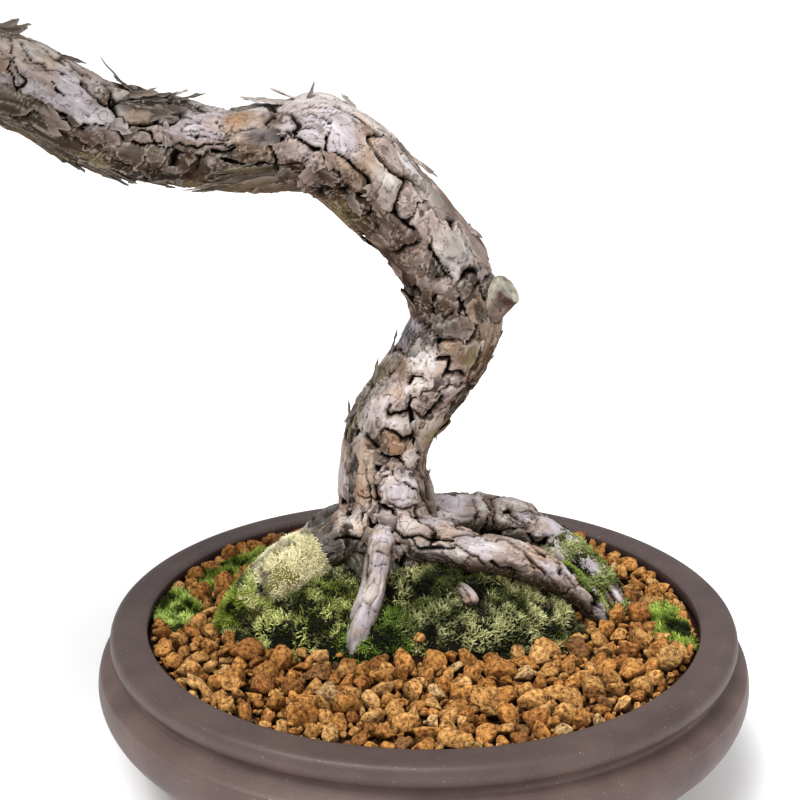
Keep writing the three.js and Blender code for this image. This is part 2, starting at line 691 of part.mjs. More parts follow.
function mossShape({ at, half, turn, thick }) {
  const ball = new THREE.SphereGeometry(1, 12, 6);
  ball.rotateX(Math.PI / 2);
  const position = ball.attributes.position;
  const angle = THREE.MathUtils.degToRad(turn);
  for (let i = 0; i < position.count; i += 1) {
    const [u, v, w] = [position.getX(i), position.getY(i), position.getZ(i)];
    const x = at[0] + u * half[0] * Math.cos(angle) - v * half[1] * Math.sin(angle);
    const y = at[1] + u * half[0] * Math.sin(angle) + v * half[1] * Math.cos(angle);
    const lumps = 1 + 0.24 * Math.sin(x * 0.62 + y * 0.31) * Math.cos(y * 0.7 - x * 0.23);
    const z = soilHeight(x, y) + (w > 0 ? thick * w * lumps : -3 * Math.abs(w));
    position.setXYZ(i, x, y, z);
  }
  return solid(ball);
}

function makeMoss(cushion, cutters) {
  const room = turned([
    [0, 20], [RIM_INNER_RADIUS - 1.2, 20], [RIM_INNER_RADIUS - 1.2, 120], [0, 120],
  ], POT_SIDES);
  const inPot = mossShape(cushion).intersect(room);
  return largest(cutters.reduce((moss, cutter) => moss.subtract(cutter), inPot));
}

// Assembly

const CERAMIC = { color: 0x56463f, roughness: 0.72 };
const PLASTIC = { color: 0x1d1f1e, roughness: 0.55 };
const WIRE = { color: 0xa39c92, roughness: 0.4, metalness: 0.9 };
const BARK = { color: 0x8d7f78, roughness: 0.9 };
const PUMICE = { color: 0xc9c1ae, roughness: 0.95 };
const AKADAMA = { color: 0xb07a42, roughness: 0.95 };
const NEEDLE = { color: 0x2f4a23, roughness: 0.5 };

const bonsai = new THREE.Group();
bonsai.position.set(POT_X, POT_Y, 0);

const rootsWithRoom = joined([
  trunkTube(CLEARANCE),
  ...Object.values(ROOTS).map((path) => rootTube(path, CLEARANCE)),
]);
const bed = makeBed(closedField(grainField()));
const soil = largest(bed.subtract(rootsWithRoom).subtract(makeTie(CLEARANCE)));

bonsai.add(piece("pot", makePot(), CERAMIC));
bonsai.add(piece("trunk", makeTrunk(), BARK));
CROWN.forEach((plan, i) => bonsai.add(piece(`branch_${PADS[i].name}`, makeBranch(plan), BARK)));
bonsai.add(piece("soil", soil, AKADAMA));
bonsai.add(piece("drainage_layer", makeDrainage(), PUMICE));
bonsai.add(piece("tie_wire", makeTie(0), WIRE));
[["front", -1], ["back", 1]].forEach(([place, side]) => {
  bonsai.add(piece(`drain_screen_${place}`, makeScreen(side * DRAIN_HOLE_Y), PLASTIC));
  bonsai.add(piece(`screen_clip_${place}`, makeClip(side * DRAIN_HOLE_Y), WIRE));
});

const laid = [bed.translate([0, 0, CLEARANCE]), rootsWithRoom];
MOSS.forEach((cushion) => {
  const moss = makeMoss(cushion, laid);
  laid.push(moss.translate([0, 0, CLEARANCE]), moss);
  bonsai.add(piece(cushion.name, moss, { color: cushion.green, roughness: 0.95 }));
});

SPRAY_SEATS.forEach((seat, i) => {
  const pad = PADS[Math.floor(i / SPRAYS_A_PAD)].name;
  bonsai.add(piece(`spray_${pad}_${(i % SPRAYS_A_PAD) + 1}`, makeSpray(i), NEEDLE));
});

export default bonsai;
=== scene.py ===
# %% [markdown]
# # A japanese black pine bonsai in a round unglazed pot
# The solids of the tree, its pot and what fills it are already made, and come in here as the frame.
# This script dresses them: it builds finer pieces for bark, grains, moss and needles, and the
# finishes that the light falls on. Everything below is worked out in millimetres from the centre
# of the pot's foot, and is moved to the part's frame, in metres, when a piece is added.

import math

import bmesh
import bpy
import numpy as np
from mathutils import Matrix, Vector


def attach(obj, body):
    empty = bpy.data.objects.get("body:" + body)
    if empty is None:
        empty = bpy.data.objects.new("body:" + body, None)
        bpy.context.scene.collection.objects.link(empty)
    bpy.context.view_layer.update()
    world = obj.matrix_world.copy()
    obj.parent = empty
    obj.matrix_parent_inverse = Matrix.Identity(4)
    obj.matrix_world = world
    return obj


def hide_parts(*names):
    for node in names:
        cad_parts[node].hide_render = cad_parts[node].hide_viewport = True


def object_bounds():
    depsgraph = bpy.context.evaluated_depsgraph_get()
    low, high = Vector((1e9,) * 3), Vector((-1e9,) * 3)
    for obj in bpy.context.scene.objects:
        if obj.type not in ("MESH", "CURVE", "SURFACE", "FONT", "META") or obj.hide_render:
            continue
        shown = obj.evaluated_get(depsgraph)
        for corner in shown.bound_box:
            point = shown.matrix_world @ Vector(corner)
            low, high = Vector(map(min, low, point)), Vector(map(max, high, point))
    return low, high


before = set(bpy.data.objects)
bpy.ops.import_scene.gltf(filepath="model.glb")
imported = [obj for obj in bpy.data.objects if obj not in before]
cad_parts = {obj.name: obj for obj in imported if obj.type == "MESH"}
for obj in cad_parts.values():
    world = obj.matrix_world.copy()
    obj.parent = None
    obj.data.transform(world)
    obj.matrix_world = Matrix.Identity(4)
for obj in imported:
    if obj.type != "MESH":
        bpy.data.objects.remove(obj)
cad_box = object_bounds()
POT_PLACE = np.array([113.0, 11.0, 0.0])
MM = 0.001
box_low, box_high = (np.array(corner) / MM - POT_PLACE for corner in cad_box)
print("box round the part, mm from the pot's foot:", box_low.round(1), box_high.round(1))

# %% [markdown]
# ## Colours and shader nodes
# Colours are written as the sRGB hex values that a person picks. A shader works with light,
# so one function turns them to linear values. A second one adds a shader node, sets its values and
# links it, which keeps each finish below short enough to read.


# %% Colour and node helpers
def linear(hex_colour):
    channels = np.array([int(hex_colour[i : i + 2], 16) for i in (1, 3, 5)]) / 255
    return np.where(channels <= 0.04045, channels / 12.92, ((channels + 0.055) / 1.055) ** 2.4)


def rgba(hex_colour):
    return (*linear(hex_colour), 1.0)


print("a middle grey in linear light:", linear("#808080").round(3))


def connect(material, target, links):
    """Links a node's sockets, by name or number, to outputs written as "node.output"."""
    nodes = material.node_tree.nodes
    for socket, source in links.items():
        name, output = source.split(".")
        output = int(output) if output.isdigit() else output
        material.node_tree.links.new(nodes[name].outputs[output], nodes[target].inputs[socket])


def add_node(material, name, kind, settings=None, links=None):
    """Settings are the node's sockets, its own settings or the stops of its colour ramp."""
    node = material.node_tree.nodes.new("ShaderNode" + kind)
    node.name = name
    for key, value in (settings or {}).items():
        if key == "stops":
            for stop, (place, colour) in zip(node.color_ramp.elements, value):
                stop.position = place
                stop.color = rgba(colour)
        elif isinstance(key, int) or key in node.inputs:
            node.inputs[key].default_value = value
        else:
            setattr(node, key, value)
    connect(material, name, links or {})


def new_finish(name, shader_settings):
    material = bpy.data.materials.new(name)
    material.use_nodes = True
    material.node_tree.nodes.clear()
    add_node(material, "shader", "BsdfPrincipled", shader_settings)
    add_node(material, "output", "OutputMaterial", links={"Surface": "shader.BSDF"})
    return material


# %% [markdown]
# ## Noise that repeats
# Bark, clay grains and moss are irregular, but the script must give the same tree each time. So
# every random draw has a seed, and the smooth noise comes from a hash of the corners of a grid.
# Blender's displace modifier could do this too, but arrays of numbers let one noise shape the
# surface and colour it at the same places.


# %% Noise helpers
def hashed(ix, iy, iz, seed):
    """A number from 0 to 1 for each corner of a grid."""
    corner = [np.asarray(i).astype(np.int64).astype(np.uint32) for i in (ix, iy, iz)]
    mixed = corner[0] * np.uint32(374761393) + corner[1] * np.uint32(668265263)
    mixed = mixed + corner[2] * np.uint32(2246822519) + np.uint32(seed * 40503 + 977)
    mixed = (mixed ^ (mixed >> np.uint32(13))) * np.uint32(1274126177)
    mixed = (mixed ^ (mixed >> np.uint32(16))) * np.uint32(2654435761)
    return (mixed ^ (mixed >> np.uint32(15))).astype(float) / 4294967295.0


def noise(points, size, seed):
    """Smooth noise from -1 to 1 with bumps about as wide as size, in mm."""
    scaled = points / size + seed * 17.31
    cell = np.floor(scaled)
    part = scaled - cell
    part = part * part * (3 - 2 * part)
    total = np.zeros(len(points))
    for dx in (0, 1):
        for dy in (0, 1):
            for dz in (0, 1):
                weight = np.abs(1 - dx - part[:, 0]) * np.abs(1 - dy - part[:, 1])
                weight *= np.abs(1 - dz - part[:, 2])
                total += weight * hashed(cell[:, 0] + dx, cell[:, 1] + dy, cell[:, 2] + dz, seed)
    return 2 * total - 1


def smooth_step(low, high, value):
    t = np.clip((value - low) / (high - low), 0, 1)
    return t * t * (3 - 2 * t)


def unit(vectors):
    return vectors / np.maximum(np.linalg.norm(vectors, axis=-1, keepdims=True), 1e-9)


def flat_places(x, y):
    """Places on the plane z = 0, for noise that varies over the bed."""
    return np.column_stack([x, y, np.zeros(len(x))])


print("noise at three places:", noise(np.array([[0, 0, 1], [0, 0, 2], [0, 0, 3]]), 4.0, 1).round(2))


# %% [markdown]
# ## From numbers to a piece
# Each piece is a mesh made from arrays of points and faces. It rides on the part's one body and
# says which solids it stands for, which it hides. Numbers that the finish needs, such as how deep
# in a crack a point lies, go along as attributes.


# %% Mesh helpers
def make_mesh(name, points, face_groups, attributes=None, smooth=True):
    """face_groups is a list of arrays, each with 3 or 4 corners a row. points are in mm."""
    corners = np.concatenate([group.ravel() for group in face_groups])
    sizes = np.concatenate([np.full(len(group), group.shape[1]) for group in face_groups])
    mesh = bpy.data.meshes.new(name)
    mesh.vertices.add(len(points))
    mesh.vertices.foreach_set("co", ((points + POT_PLACE) * MM).astype(np.float32).ravel())
    mesh.loops.add(len(corners))
    mesh.loops.foreach_set("vertex_index", corners.astype(np.int32))
    mesh.polygons.add(len(sizes))
    starts = np.concatenate([[0], np.cumsum(sizes)[:-1]])
    mesh.polygons.foreach_set("loop_start", starts.astype(np.int32))
    mesh.update(calc_edges=True)
    mesh.polygons.foreach_set("use_smooth", np.full(len(sizes), smooth))
    for key, values in (attributes or {}).items():
        if values.ndim == 1:
            layer = mesh.attributes.new(key, "FLOAT", "POINT")
            layer.data.foreach_set("value", values.astype(np.float32))
        else:
            layer = mesh.attributes.new(key, "FLOAT_COLOR", "POINT")
            full = np.column_stack([values, np.ones(len(values))])
            layer.data.foreach_set("color", full.astype(np.float32).ravel())
    mesh.update()
    return mesh


def in_scene(name, data):
    made = bpy.data.objects.new(name, data)
    bpy.context.scene.collection.objects.link(made)
    return made


triangle_count = {}


def add_piece(name, mesh, material, stands_for=()):
    mesh.materials.clear()
    mesh.materials.append(material)
    made = in_scene(name, mesh)
    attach(made, "root")
    if stands_for:
        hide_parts(*stands_for)
    mesh.calc_loop_triangles()
    triangle_count[name] = len(mesh.loop_triangles)
    return made


def grid_faces(rows, columns, wrap):
    """Quads of a grid of points, row after row. With wrap, the last column joins the first."""
    row = np.arange(rows - 1)[:, None] * columns
    column = np.arange(columns if wrap else columns - 1)[None, :]
    after = (column + 1) % columns
    quads = [row + column, row + after, row + columns + after, row + columns + column]
    return np.stack(quads, axis=-1).reshape(-1, 4)


def end_caps(rings, sides):
    """Fans that close a tube of rings at both ends. Its last two points are the ends' middles."""
    k = np.arange(sides)
    after, top, middle = (k + 1) % sides, (rings - 1) * sides, np.full(sides, rings * sides)
    return np.vstack([np.column_stack([middle, after, k]),
                      np.column_stack([middle + 1, top + k, top + after])])


def repeated(pattern, count, own):
    """The same faces for many copies of a shape that has this many points of its own."""
    pattern = np.asarray(pattern)
    return (pattern[None] + own * np.arange(count)[:, None, None]).reshape(-1, pattern.shape[1])


def joined_shells(shells):
    """Several closed shells as one set of points and face groups."""
    points, groups, shift = [], [], 0
    for shell_points, shell_faces in shells:
        points.append(shell_points)
        groups += [group + shift for group in shell_faces]
        shift += len(shell_points)
    return np.vstack(points), groups


def with_modifier(holder, kind, settings):
    """The mesh that one modifier makes of this object, which is removed."""
    modifier = holder.modifiers.new(kind, kind)
    for key, value in settings.items():
        setattr(modifier, key, value)
    graph = bpy.context.evaluated_depsgraph_get()
    made = bpy.data.meshes.new_from_object(holder.evaluated_get(graph))
    bpy.data.objects.remove(holder)
    return made


print("faces of a closed tube, 3 rings of 4:", len(grid_faces(3, 4, True)) + len(end_caps(3, 4)))


# %% [markdown]
# ## Smooth lines through points
# The trunk, its roots and the pot's outline are each given by a few points with a smooth line
# through them. The solids use the centripetal Catmull-Rom curve, which doesn't overshoot where
# points crowd together. The same curve here puts each fine piece over its solid.


# %% Curve helpers
def curve_through(points, steps):
    """Points on a centripetal Catmull-Rom curve, with steps between each two given points."""
    points = np.asarray(points, float)
    padded = np.vstack([2 * points[0] - points[1], points, 2 * points[-1] - points[-2]])
    t = np.linspace(0, 1, steps, endpoint=False)[:, None]
    out = []
    for p0, p1, p2, p3 in zip(padded, padded[1:], padded[2:], padded[3:]):
        d0, d1, d2 = (max(np.sqrt(np.linalg.norm(b[:3] - a[:3])), 1e-4)
                      for a, b in ((p0, p1), (p1, p2), (p2, p3)))
        m1 = ((p1 - p0) / d0 - (p2 - p0) / (d0 + d1) + (p2 - p1) / d1) * d1
        m2 = ((p2 - p1) / d1 - (p3 - p1) / (d1 + d2) + (p3 - p2) / d2) * d1
        out.append((2 * t**3 - 3 * t**2 + 1) * p1 + (t**3 - 2 * t**2 + t) * m1
                   + (3 * t**2 - 2 * t**3) * p2 + (t**3 - t**2) * m2)
    return np.vstack([*out, points[-1:]])


class Limb:
    """A tapering length of wood: a path of x, y, z and radius, with a front that faces -Y."""

    def __init__(self, path, steps=12):
        path = np.asarray(path, float)
        self.at = curve_through(path[:, :3], steps)
        share = np.linspace(0, len(path) - 1, len(self.at))
        self.radius = np.interp(share, np.arange(len(path)), path[:, 3])
        lengths = np.linalg.norm(np.diff(self.at, axis=0), axis=1)
        self.along = np.concatenate([[0], np.cumsum(lengths)])
        self.length = self.along[-1]
        self.tangent = unit(np.gradient(self.at, axis=0))
        faces = np.array([0.0, -1.0, 0.0])
        if abs(self.tangent[:, 1]).max() > 0.95:
            faces = np.array([0.0, 0.0, 1.0])
        self.front = unit(faces - self.tangent * (self.tangent @ faces)[:, None])
        self.side = np.cross(self.tangent, self.front)

    def place(self, along, degrees, height):
        """Points at a height in mm over the surface, and the way out from the middle there."""
        angle = np.radians(degrees)
        frames = [np.stack([np.interp(along, self.along, part[:, k]) for k in range(3)], axis=-1)
                  for part in (self.at, self.front, self.side, self.tangent)]
        out = frames[1] * np.cos(angle)[..., None] + frames[2] * np.sin(angle)[..., None]
        reach = np.interp(along, self.along, self.radius) + height
        return frames[0] + out * reach[..., None], out, frames[3]

    def tube(self, spacing, sides):
        """A closed tube round the limb, as points and face groups."""
        rings = max(3, int(round(self.length / spacing)) + 1)
        along = np.repeat(np.linspace(0, self.length, rings)[:, None], sides, axis=1)
        degrees = np.repeat(np.linspace(0, 360, sides, endpoint=False)[None, :], rings, axis=0)
        points, _, _ = self.place(along, degrees, np.zeros_like(along))
        points = np.vstack([points.reshape(-1, 3), self.at[0], self.at[-1]])
        return points, [grid_faces(rings, sides, True), end_caps(rings, sides)]


print("a bent limb is", round(Limb([[0, 0, 0, 3], [0, 5, 20, 2], [0, 15, 35, 1]]).length), "mm long")


# %% [markdown]
# ## The pot
# A round bonsai pot like this is thrown or pressed from stoneware clay and fired without a glaze.
# It has a flat foot ring with three notches that let water run out, a full belly, a neck, and a
# thick rounded lip. One outline turned round the upright axis makes it, as on a potter's wheel. A
# boolean then cuts the holes in its floor.

# %% The pot's outline
POT_HEIGHT = 55.0
POT_SIDES = 208
belly_angles = np.radians(np.arange(-62, 21, 5.125))
belly = np.column_stack([92.6 + 17.3 * np.cos(belly_angles), 36.7 + 15.3 * np.sin(belly_angles)])
lip = [[106.4, 43.3], [104.0, 44.4], [102.6, 45.4], [103, 47.6], [104.6, 49], [105.4, 51.8],
       [104, 54.7], [98, 55], [93.8, 54.9], [93, 54.2]]
inner_wall = [[94, 49], [99, 43.5], [102.5, 36], [99, 26], [90, 15], [72, 7.5]]
foot = [[0, 3], [40, 3], [66, 3], [67, 0.05], [67.4, 0], [78.1, 0], [78.5, 0.4], [79, 4]]
body = curve_through([[79, 4], [84, 9.5], [92, 15.5], *belly, *lip, *inner_wall], 4)
pot_outline = np.vstack([foot[:-1], body, [[40, 7.5], [0, 7.5]]])
print("pot outline:", len(pot_outline), "points, widest radius", pot_outline[:, 0].max().round(2))


# %% Turning the outline and cutting the holes
def turned(outline, sides):
    """Points and faces of an outline turned round Z. Its first and last points are on the axis."""
    angle = np.linspace(0, 2 * np.pi, sides, endpoint=False)
    ring = outline[1:-1]
    points = np.stack([ring[:, :1] * np.cos(angle), ring[:, :1] * np.sin(angle),
                       np.repeat(ring[:, 1:], sides, axis=1)], axis=-1).reshape(-1, 3)
    points = np.vstack([points, [0, 0, outline[0, 1]], [0, 0, outline[-1, 1]]])
    return points, [grid_faces(len(ring), sides, True), end_caps(len(ring), sides)]


def drilled(radius, x, y):
    points, faces = turned(np.array([[0, -2.0], [radius, -2.0], [radius, 12.0], [0, 12.0]]), 40)
    return points + [x, y, 0], faces


def notch(degrees):
    corner = np.array([[x, y, z] for x in (61, 85) for y in (-8, 8) for z in (-2, 2)], float)
    angle = math.radians(degrees)
    turn = np.array([[math.cos(angle), math.sin(angle), 0], [-math.sin(angle), math.cos(angle), 0],
                     [0, 0, 1]])
    sides = np.array([[0, 1, 3, 2], [4, 6, 7, 5], [0, 4, 5, 1], [2, 3, 7, 6], [0, 2, 6, 4], [1, 5, 7, 3]])
    return corner @ turn, [sides]


floor_holes = [drilled(9, 0, 30), drilled(9, 0, -30), drilled(2.5, 52, 0), drilled(2.5, -52, 0)]
notches = [notch(degrees) for degrees in (90, 210, 330)]
uncut_pot = in_scene("uncut_pot", make_mesh("uncut_pot", *turned(pot_outline, POT_SIDES)))
holes = in_scene("holes", make_mesh("holes", *joined_shells(floor_holes + notches)))
cut = {"operation": "DIFFERENCE", "solver": "EXACT", "object": holes}
pot_mesh = with_modifier(uncut_pot, "BOOLEAN", cut)
bpy.data.objects.remove(holes)
print("pot:", len(pot_mesh.polygons), "faces")

# %% [markdown]
# ### Unglazed stoneware clay
# Fired stoneware without glaze is matte, with a faint sheen where hands and water have worn it.
# Sand and feldspar in the clay show as fine pale specks of 0.2 to 0.5 mm, drawn here at the upper
# end of that so that they show. The wheel leaves soft rings a few millimetres apart. Stoneware's
# IOR is about 1.5, and a roughness near 0.6 gives the wide soft highlight on the lip.

# %% The clay's finish
clay = new_finish("unglazed_stoneware", {"Roughness": 0.52, "IOR": 1.5, "Specular IOR Level": 0.45})
add_node(clay, "place", "TexCoord")
add_node(clay, "patches", "TexNoise", {"Scale": 1 / (22 * MM), "Detail": 5.0}, {"Vector": "place.Object"})
add_node(clay, "tone", "ValToRGB", {"stops": [(0.3, "#504140"), (0.72, "#66544F")]}, {"Fac": "patches.Fac"})
add_node(clay, "grit", "TexNoise", {"Scale": 1 / (0.9 * MM), "Detail": 2.0}, {"Vector": "place.Object"})
add_node(clay, "speck", "MapRange", {"From Min": 0.68, "From Max": 0.76, "To Max": 0.45},
         {"Value": "grit.Fac"})
add_node(clay, "split", "SeparateXYZ", links={"Vector": "place.Object"})
# Darker towards the lip: over the top 6 mm the clay's colour is multiplied by #D8DADB.
add_node(clay, "worn", "MapRange", {"From Min": (POT_HEIGHT - 6) * MM, "From Max": (POT_HEIGHT - 1) * MM},
         {"Value": "split.Z"})
add_node(clay, "rim", "Mix", {"data_type": "RGBA", "blend_type": "MULTIPLY", 7: rgba("#D8DADB")},
         {0: "worn.Result", 6: "tone.Color"})
add_node(clay, "colour", "Mix", {"data_type": "RGBA", 7: rgba("#A79A8E")}, {0: "speck.Result", 6: "rim.2"})
add_node(clay, "rings", "TexNoise", {"noise_dimensions": "1D", "Scale": 1 / (1.6 * MM), "Detail": 2.0},
         {"W": "split.Z"})
add_node(clay, "relief", "Math", {"operation": "ADD"}, {0: "rings.Fac", 1: "grit.Fac"})
add_node(clay, "bump", "Bump", {"Strength": 0.3, "Distance": 0.25 * MM}, {"Height": "relief.Value"})
connect(clay, "shader", {"Base Color": "colour.2", "Normal": "bump.Normal"})
add_piece("pot_fine", pot_mesh, clay, ["pot"])
print("pot:", triangle_count["pot_fine"], "triangles")

# %% [markdown]
# ## What the soil hides
# Under the soil lie a layer of pumice, two plastic drain screens held by bent wire clips, and the
# wire that ties the tree down. Their solids are already the right shape, so they keep them and only
# get a finish: pale rough pumice, black moulded net and dull drawn aluminium wire.

# %% Finishes of the hidden parts
pumice = new_finish("washed_pumice", {"Roughness": 0.95, "IOR": 1.5})
add_node(pumice, "place", "TexCoord")
add_node(pumice, "cells", "TexVoronoi", {"Scale": 1 / (5 * MM)}, {"Vector": "place.Object"})
add_node(pumice, "tone", "ValToRGB", {"stops": [(0.1, "#CFC8B6"), (0.7, "#8D8472")]},
         {"Fac": "cells.Distance"})
add_node(pumice, "bump", "Bump", {"Strength": 0.9, "Distance": 1.5 * MM, "invert": True},
         {"Height": "cells.Distance"})
connect(pumice, "shader", {"Base Color": "tone.Color", "Normal": "bump.Normal"})
net_plastic = new_finish("moulded_polyethylene_net",
                         {"Base Color": rgba("#1D1F1E"), "Roughness": 0.5, "IOR": 1.51})
bonsai_wire = new_finish("annealed_aluminium_wire",
                         {"Base Color": rgba("#9C9389"), "Metallic": 1.0, "Roughness": 0.45})
for name, finish in [("drainage_layer", pumice), ("tie_wire", bonsai_wire),
                     ("drain_screen_front", net_plastic), ("drain_screen_back", net_plastic),
                     ("screen_clip_front", bonsai_wire), ("screen_clip_back", bonsai_wire)]:
    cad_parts[name].data.materials.clear()
    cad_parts[name].data.materials.append(finish)
print("finished six hidden nodes")

# %% [markdown]
# ## The bed and its mound
# Bonsai soil is heaped into a low mound round the roots, so that water runs off and the root flare
# shows. The visible bed is loose grains, but between them one sees only dark soil. So a plain dark
# bed fills the pot, and the grains lie on it as pieces of their own.

# %% The bed's height
SOIL_LEVEL = 51.5
MOUND_HEIGHT = 22.0
MOUND_MIDDLE = np.array([-6.0, 6.0])
MOUND_HALF = {"left": 66.0, "right": 62.0, "front": 41.0, "back": 54.0}


def mound_radius(x, y):
    """0 at the middle of the mound and 1 at its foot."""
    dx, dy = x - MOUND_MIDDLE[0], y - MOUND_MIDDLE[1]
    across = np.where(dx < 0, MOUND_HALF["left"], MOUND_HALF["right"])
    deep = np.where(dy < 0, MOUND_HALF["front"], MOUND_HALF["back"])
    return np.hypot(dx / across, dy / deep)


def soil_height(x, y):
    return SOIL_LEVEL + MOUND_HEIGHT * np.clip(1 - mound_radius(x, y) ** 2, 0, None) ** 0.62


print("soil at the middle and near the rim:", soil_height(np.array([0.0, 88.0]), np.zeros(2)).round(1))


# %% The bed's body
BED_FLOOR = 17.4
SUNK_UNDER_GRAINS = 1.7
bed_rings, bed_sides = 62, 190
ring_radius = np.linspace(0.4, 92.4, bed_rings)[::-1]
bed_angle = np.linspace(0, 2 * np.pi, bed_sides, endpoint=False)
bed_x, bed_y = (ring_radius[:, None] * turn(bed_angle)[None, :] for turn in (np.cos, np.sin))
bed_flat = flat_places(bed_x.ravel(), bed_y.ravel())
bed_top = soil_height(bed_flat[:, 0], bed_flat[:, 1]) - SUNK_UNDER_GRAINS
bed_top += 0.7 * noise(bed_flat, 4.0, 3) + 0.4 * noise(bed_flat, 1.7, 4)
wall_radius, wall_z = np.array([[89.6, BED_FLOOR], [98.6, 26], [102.1, 36], [98.6, 43.5], [93.6, 49]]).T
wall = np.stack([wall_radius[:, None] * np.cos(bed_angle), wall_radius[:, None] * np.sin(bed_angle),
                 np.repeat(wall_z[:, None], bed_sides, axis=1)], axis=-1).reshape(-1, 3)
bed_ends = [[0, 0, BED_FLOOR], [0, 0, bed_top[-1]]]
bed_points = np.vstack([wall, np.column_stack([bed_flat[:, :2], bed_top]), bed_ends])
bed_rows = len(wall_z) + bed_rings
bed_faces = [grid_faces(bed_rows, bed_sides, True), end_caps(bed_rows, bed_sides)]
bed_mesh = make_mesh("soil_bed", bed_points, bed_faces)
print("bed:", len(bed_points), "points, top at", bed_top.max().round(1), "mm")

# %% [markdown]
# ### Damp soil between the grains
# Broken-down akadama and peat make a dark brown crumb. It is matte, and its crumbs are about a
# millimetre, which the bump shows.

# %% The soil's finish
crumb = new_finish("damp_soil_crumb", {"Roughness": 0.95, "Specular IOR Level": 0.2})
add_node(crumb, "place", "TexCoord")
add_node(crumb, "noise", "TexNoise", {"Scale": 1 / (1.4 * MM), "Detail": 4.0}, {"Vector": "place.Object"})
add_node(crumb, "tone", "ValToRGB", {"stops": [(0.32, "#140D08"), (0.7, "#4A3220")]}, {"Fac": "noise.Fac"})
add_node(crumb, "bump", "Bump", {"Strength": 0.9, "Distance": 0.9 * MM}, {"Height": "noise.Fac"})
connect(crumb, "shader", {"Base Color": "tone.Color", "Normal": "bump.Normal"})
add_piece("soil_bed", bed_mesh, crumb, ["soil"])
print("soil:", len(crumb.node_tree.nodes), "nodes")

# %% [markdown]
# ## Akadama grains
# Akadama is a granular clay that is dug, dried and sieved: its grains are 2 to 6 mm lumps with
# blunt corners and flat broken sides. Scattering one grain with instances would be quick, but the
# exported model keeps real meshes only. So a few dozen different grains are made from a ball whose
# sides are cut flat at random, and copies of them are turned, scaled and laid out from the largest
# to the smallest, each keeping its distance from those already there.


# %% One grain
def ball(subdivisions):
    shape = bmesh.new()
    bmesh.ops.create_icosphere(shape, subdivisions=subdivisions, radius=1.0)
    points = np.array([v.co[:] for v in shape.verts])
    faces = np.array([[v.index for v in face.verts] for face in shape.faces])
    shape.free()
    return points, faces


def broken_grain(ball_points, random):
    """A unit ball with flat broken sides, blunt corners and a rough skin."""
    grain = ball_points.copy()
    for _ in range(9):
        facing = unit(random.normal(size=3))
        over = np.clip(grain @ facing - random.uniform(0.4, 0.8), 0, None)
        grain -= 0.95 * over[:, None] * facing
    place = grain + random.uniform(0, 90)
    grain *= (1 + 0.11 * noise(place, 0.55, 5) + 0.06 * noise(place, 0.25, 6))[:, None]
    grain *= random.uniform([0.95, 0.7, 0.6], [1.25, 1.0, 0.9])
    return grain / np.abs(grain).max()


grain_random = np.random.default_rng(11)
fine_ball, coarse_ball = ball(3), ball(2)
fine_grains = [broken_grain(fine_ball[0], grain_random) for _ in range(30)]
coarse_grains = [broken_grain(coarse_ball[0], grain_random) for _ in range(30)]
print("grain shapes:", len(fine_grains), "of", len(fine_ball[1]), "faces and", len(coarse_grains), "of",
      len(coarse_ball[1]))


# %% [markdown]
# ### Where the moss lies
# Grains don't lie on the moss, so the moss cushions are placed first: where the middle of each is,
# how far it reaches, how thick it is, and its tones from the foot to the tips.

# %% The cushions
# name, middle, half widths, turn in degrees, thickness, tones
CUSHIONS = [
    ("moss_left", [-44, -16], [28, 15], -16, 6.0, ("#12170A", "#95A04C", "#FAFABA")),
    ("moss_right", [24, -18.5], [35, 12], 16, 5.0, ("#14180D", "#7D854A", "#FAF7C6")),
    ("moss_far_left", [-84, 4], [8, 17], 10, 3.5, ("#2A380E", "#95B046", "#E2EF9C")),
    ("moss_back_left", [-58, 42], [30, 15], 42, 4.0, ("#242E0C", "#82983C", "#D6E080")),
    ("moss_right_rim", [83.5, -5], [6.5, 21], 4, 3.5, ("#222C0C", "#748C38", "#C6D66E")),
    ("lichen_left_root", [-45, 5], [12.5, 8.5], 28, 9.0, ("#6A6538", "#CFC795", "#FFFAE0")),
    ("bank_by_front_root", [-15, -27.5], [17, 7], 0, 2.2, ("#10150A", "#5A7029", "#B6CC6C")),
    ("lichen_by_moss", [-35, -4], [8.5, 4.5], 10, 8.5, ("#6A6A34", "#C6C884", "#F8F6C6")),
    # The moss by the left root has darker tones, partly its own and partly painted shade.
    ("bank_by_left_root", [-28, -10], [14, 9], 0, 5.0, ("#0C0F09", "#41482A", "#C8CA96")),
    ("bank_under_root", [14, -12.5], [33, 11], 4, 7.0, ("#0E120A", "#666E3A", "#F4F0B6")),
]


def cushion_top(x, y, at, half, turn, thick):
    """Height of a cushion of moss, and how near its edge a place is, 0 at the middle and 1 there."""
    angle = math.radians(turn)
    dx, dy = x - at[0], y - at[1]
    u = (dx * math.cos(angle) + dy * math.sin(angle)) / half[0]
    v = (-dx * math.sin(angle) + dy * math.cos(angle)) / half[1]
    away = np.hypot(u, v)
    lumps = 1 + 0.24 * np.sin(x * 0.62 + y * 0.31) * np.cos(y * 0.7 - x * 0.23)
    return soil_height(x, y) + thick * np.sqrt(np.clip(1 - away**2, 0, 1)) * lumps, away


def on_moss(x, y, reach):
    return any(cushion_top(x, y, *row[1:5])[1] < reach for row in CUSHIONS)


def ground_height(x, y):
    """Height of the bed with its cushions of moss."""
    tops = [cushion_top(x, y, *row[1:5]) for row in CUSHIONS]
    return np.max([soil_height(x, y), *(np.where(away < 1, top - 1.0, 0) for top, away in tops)], axis=0)


print("cushions:", [row[0] for row in CUSHIONS])


# %% Laying the grains out
INSIDE_RADIUS = 91.8
TRIES_A_GRAIN = 40


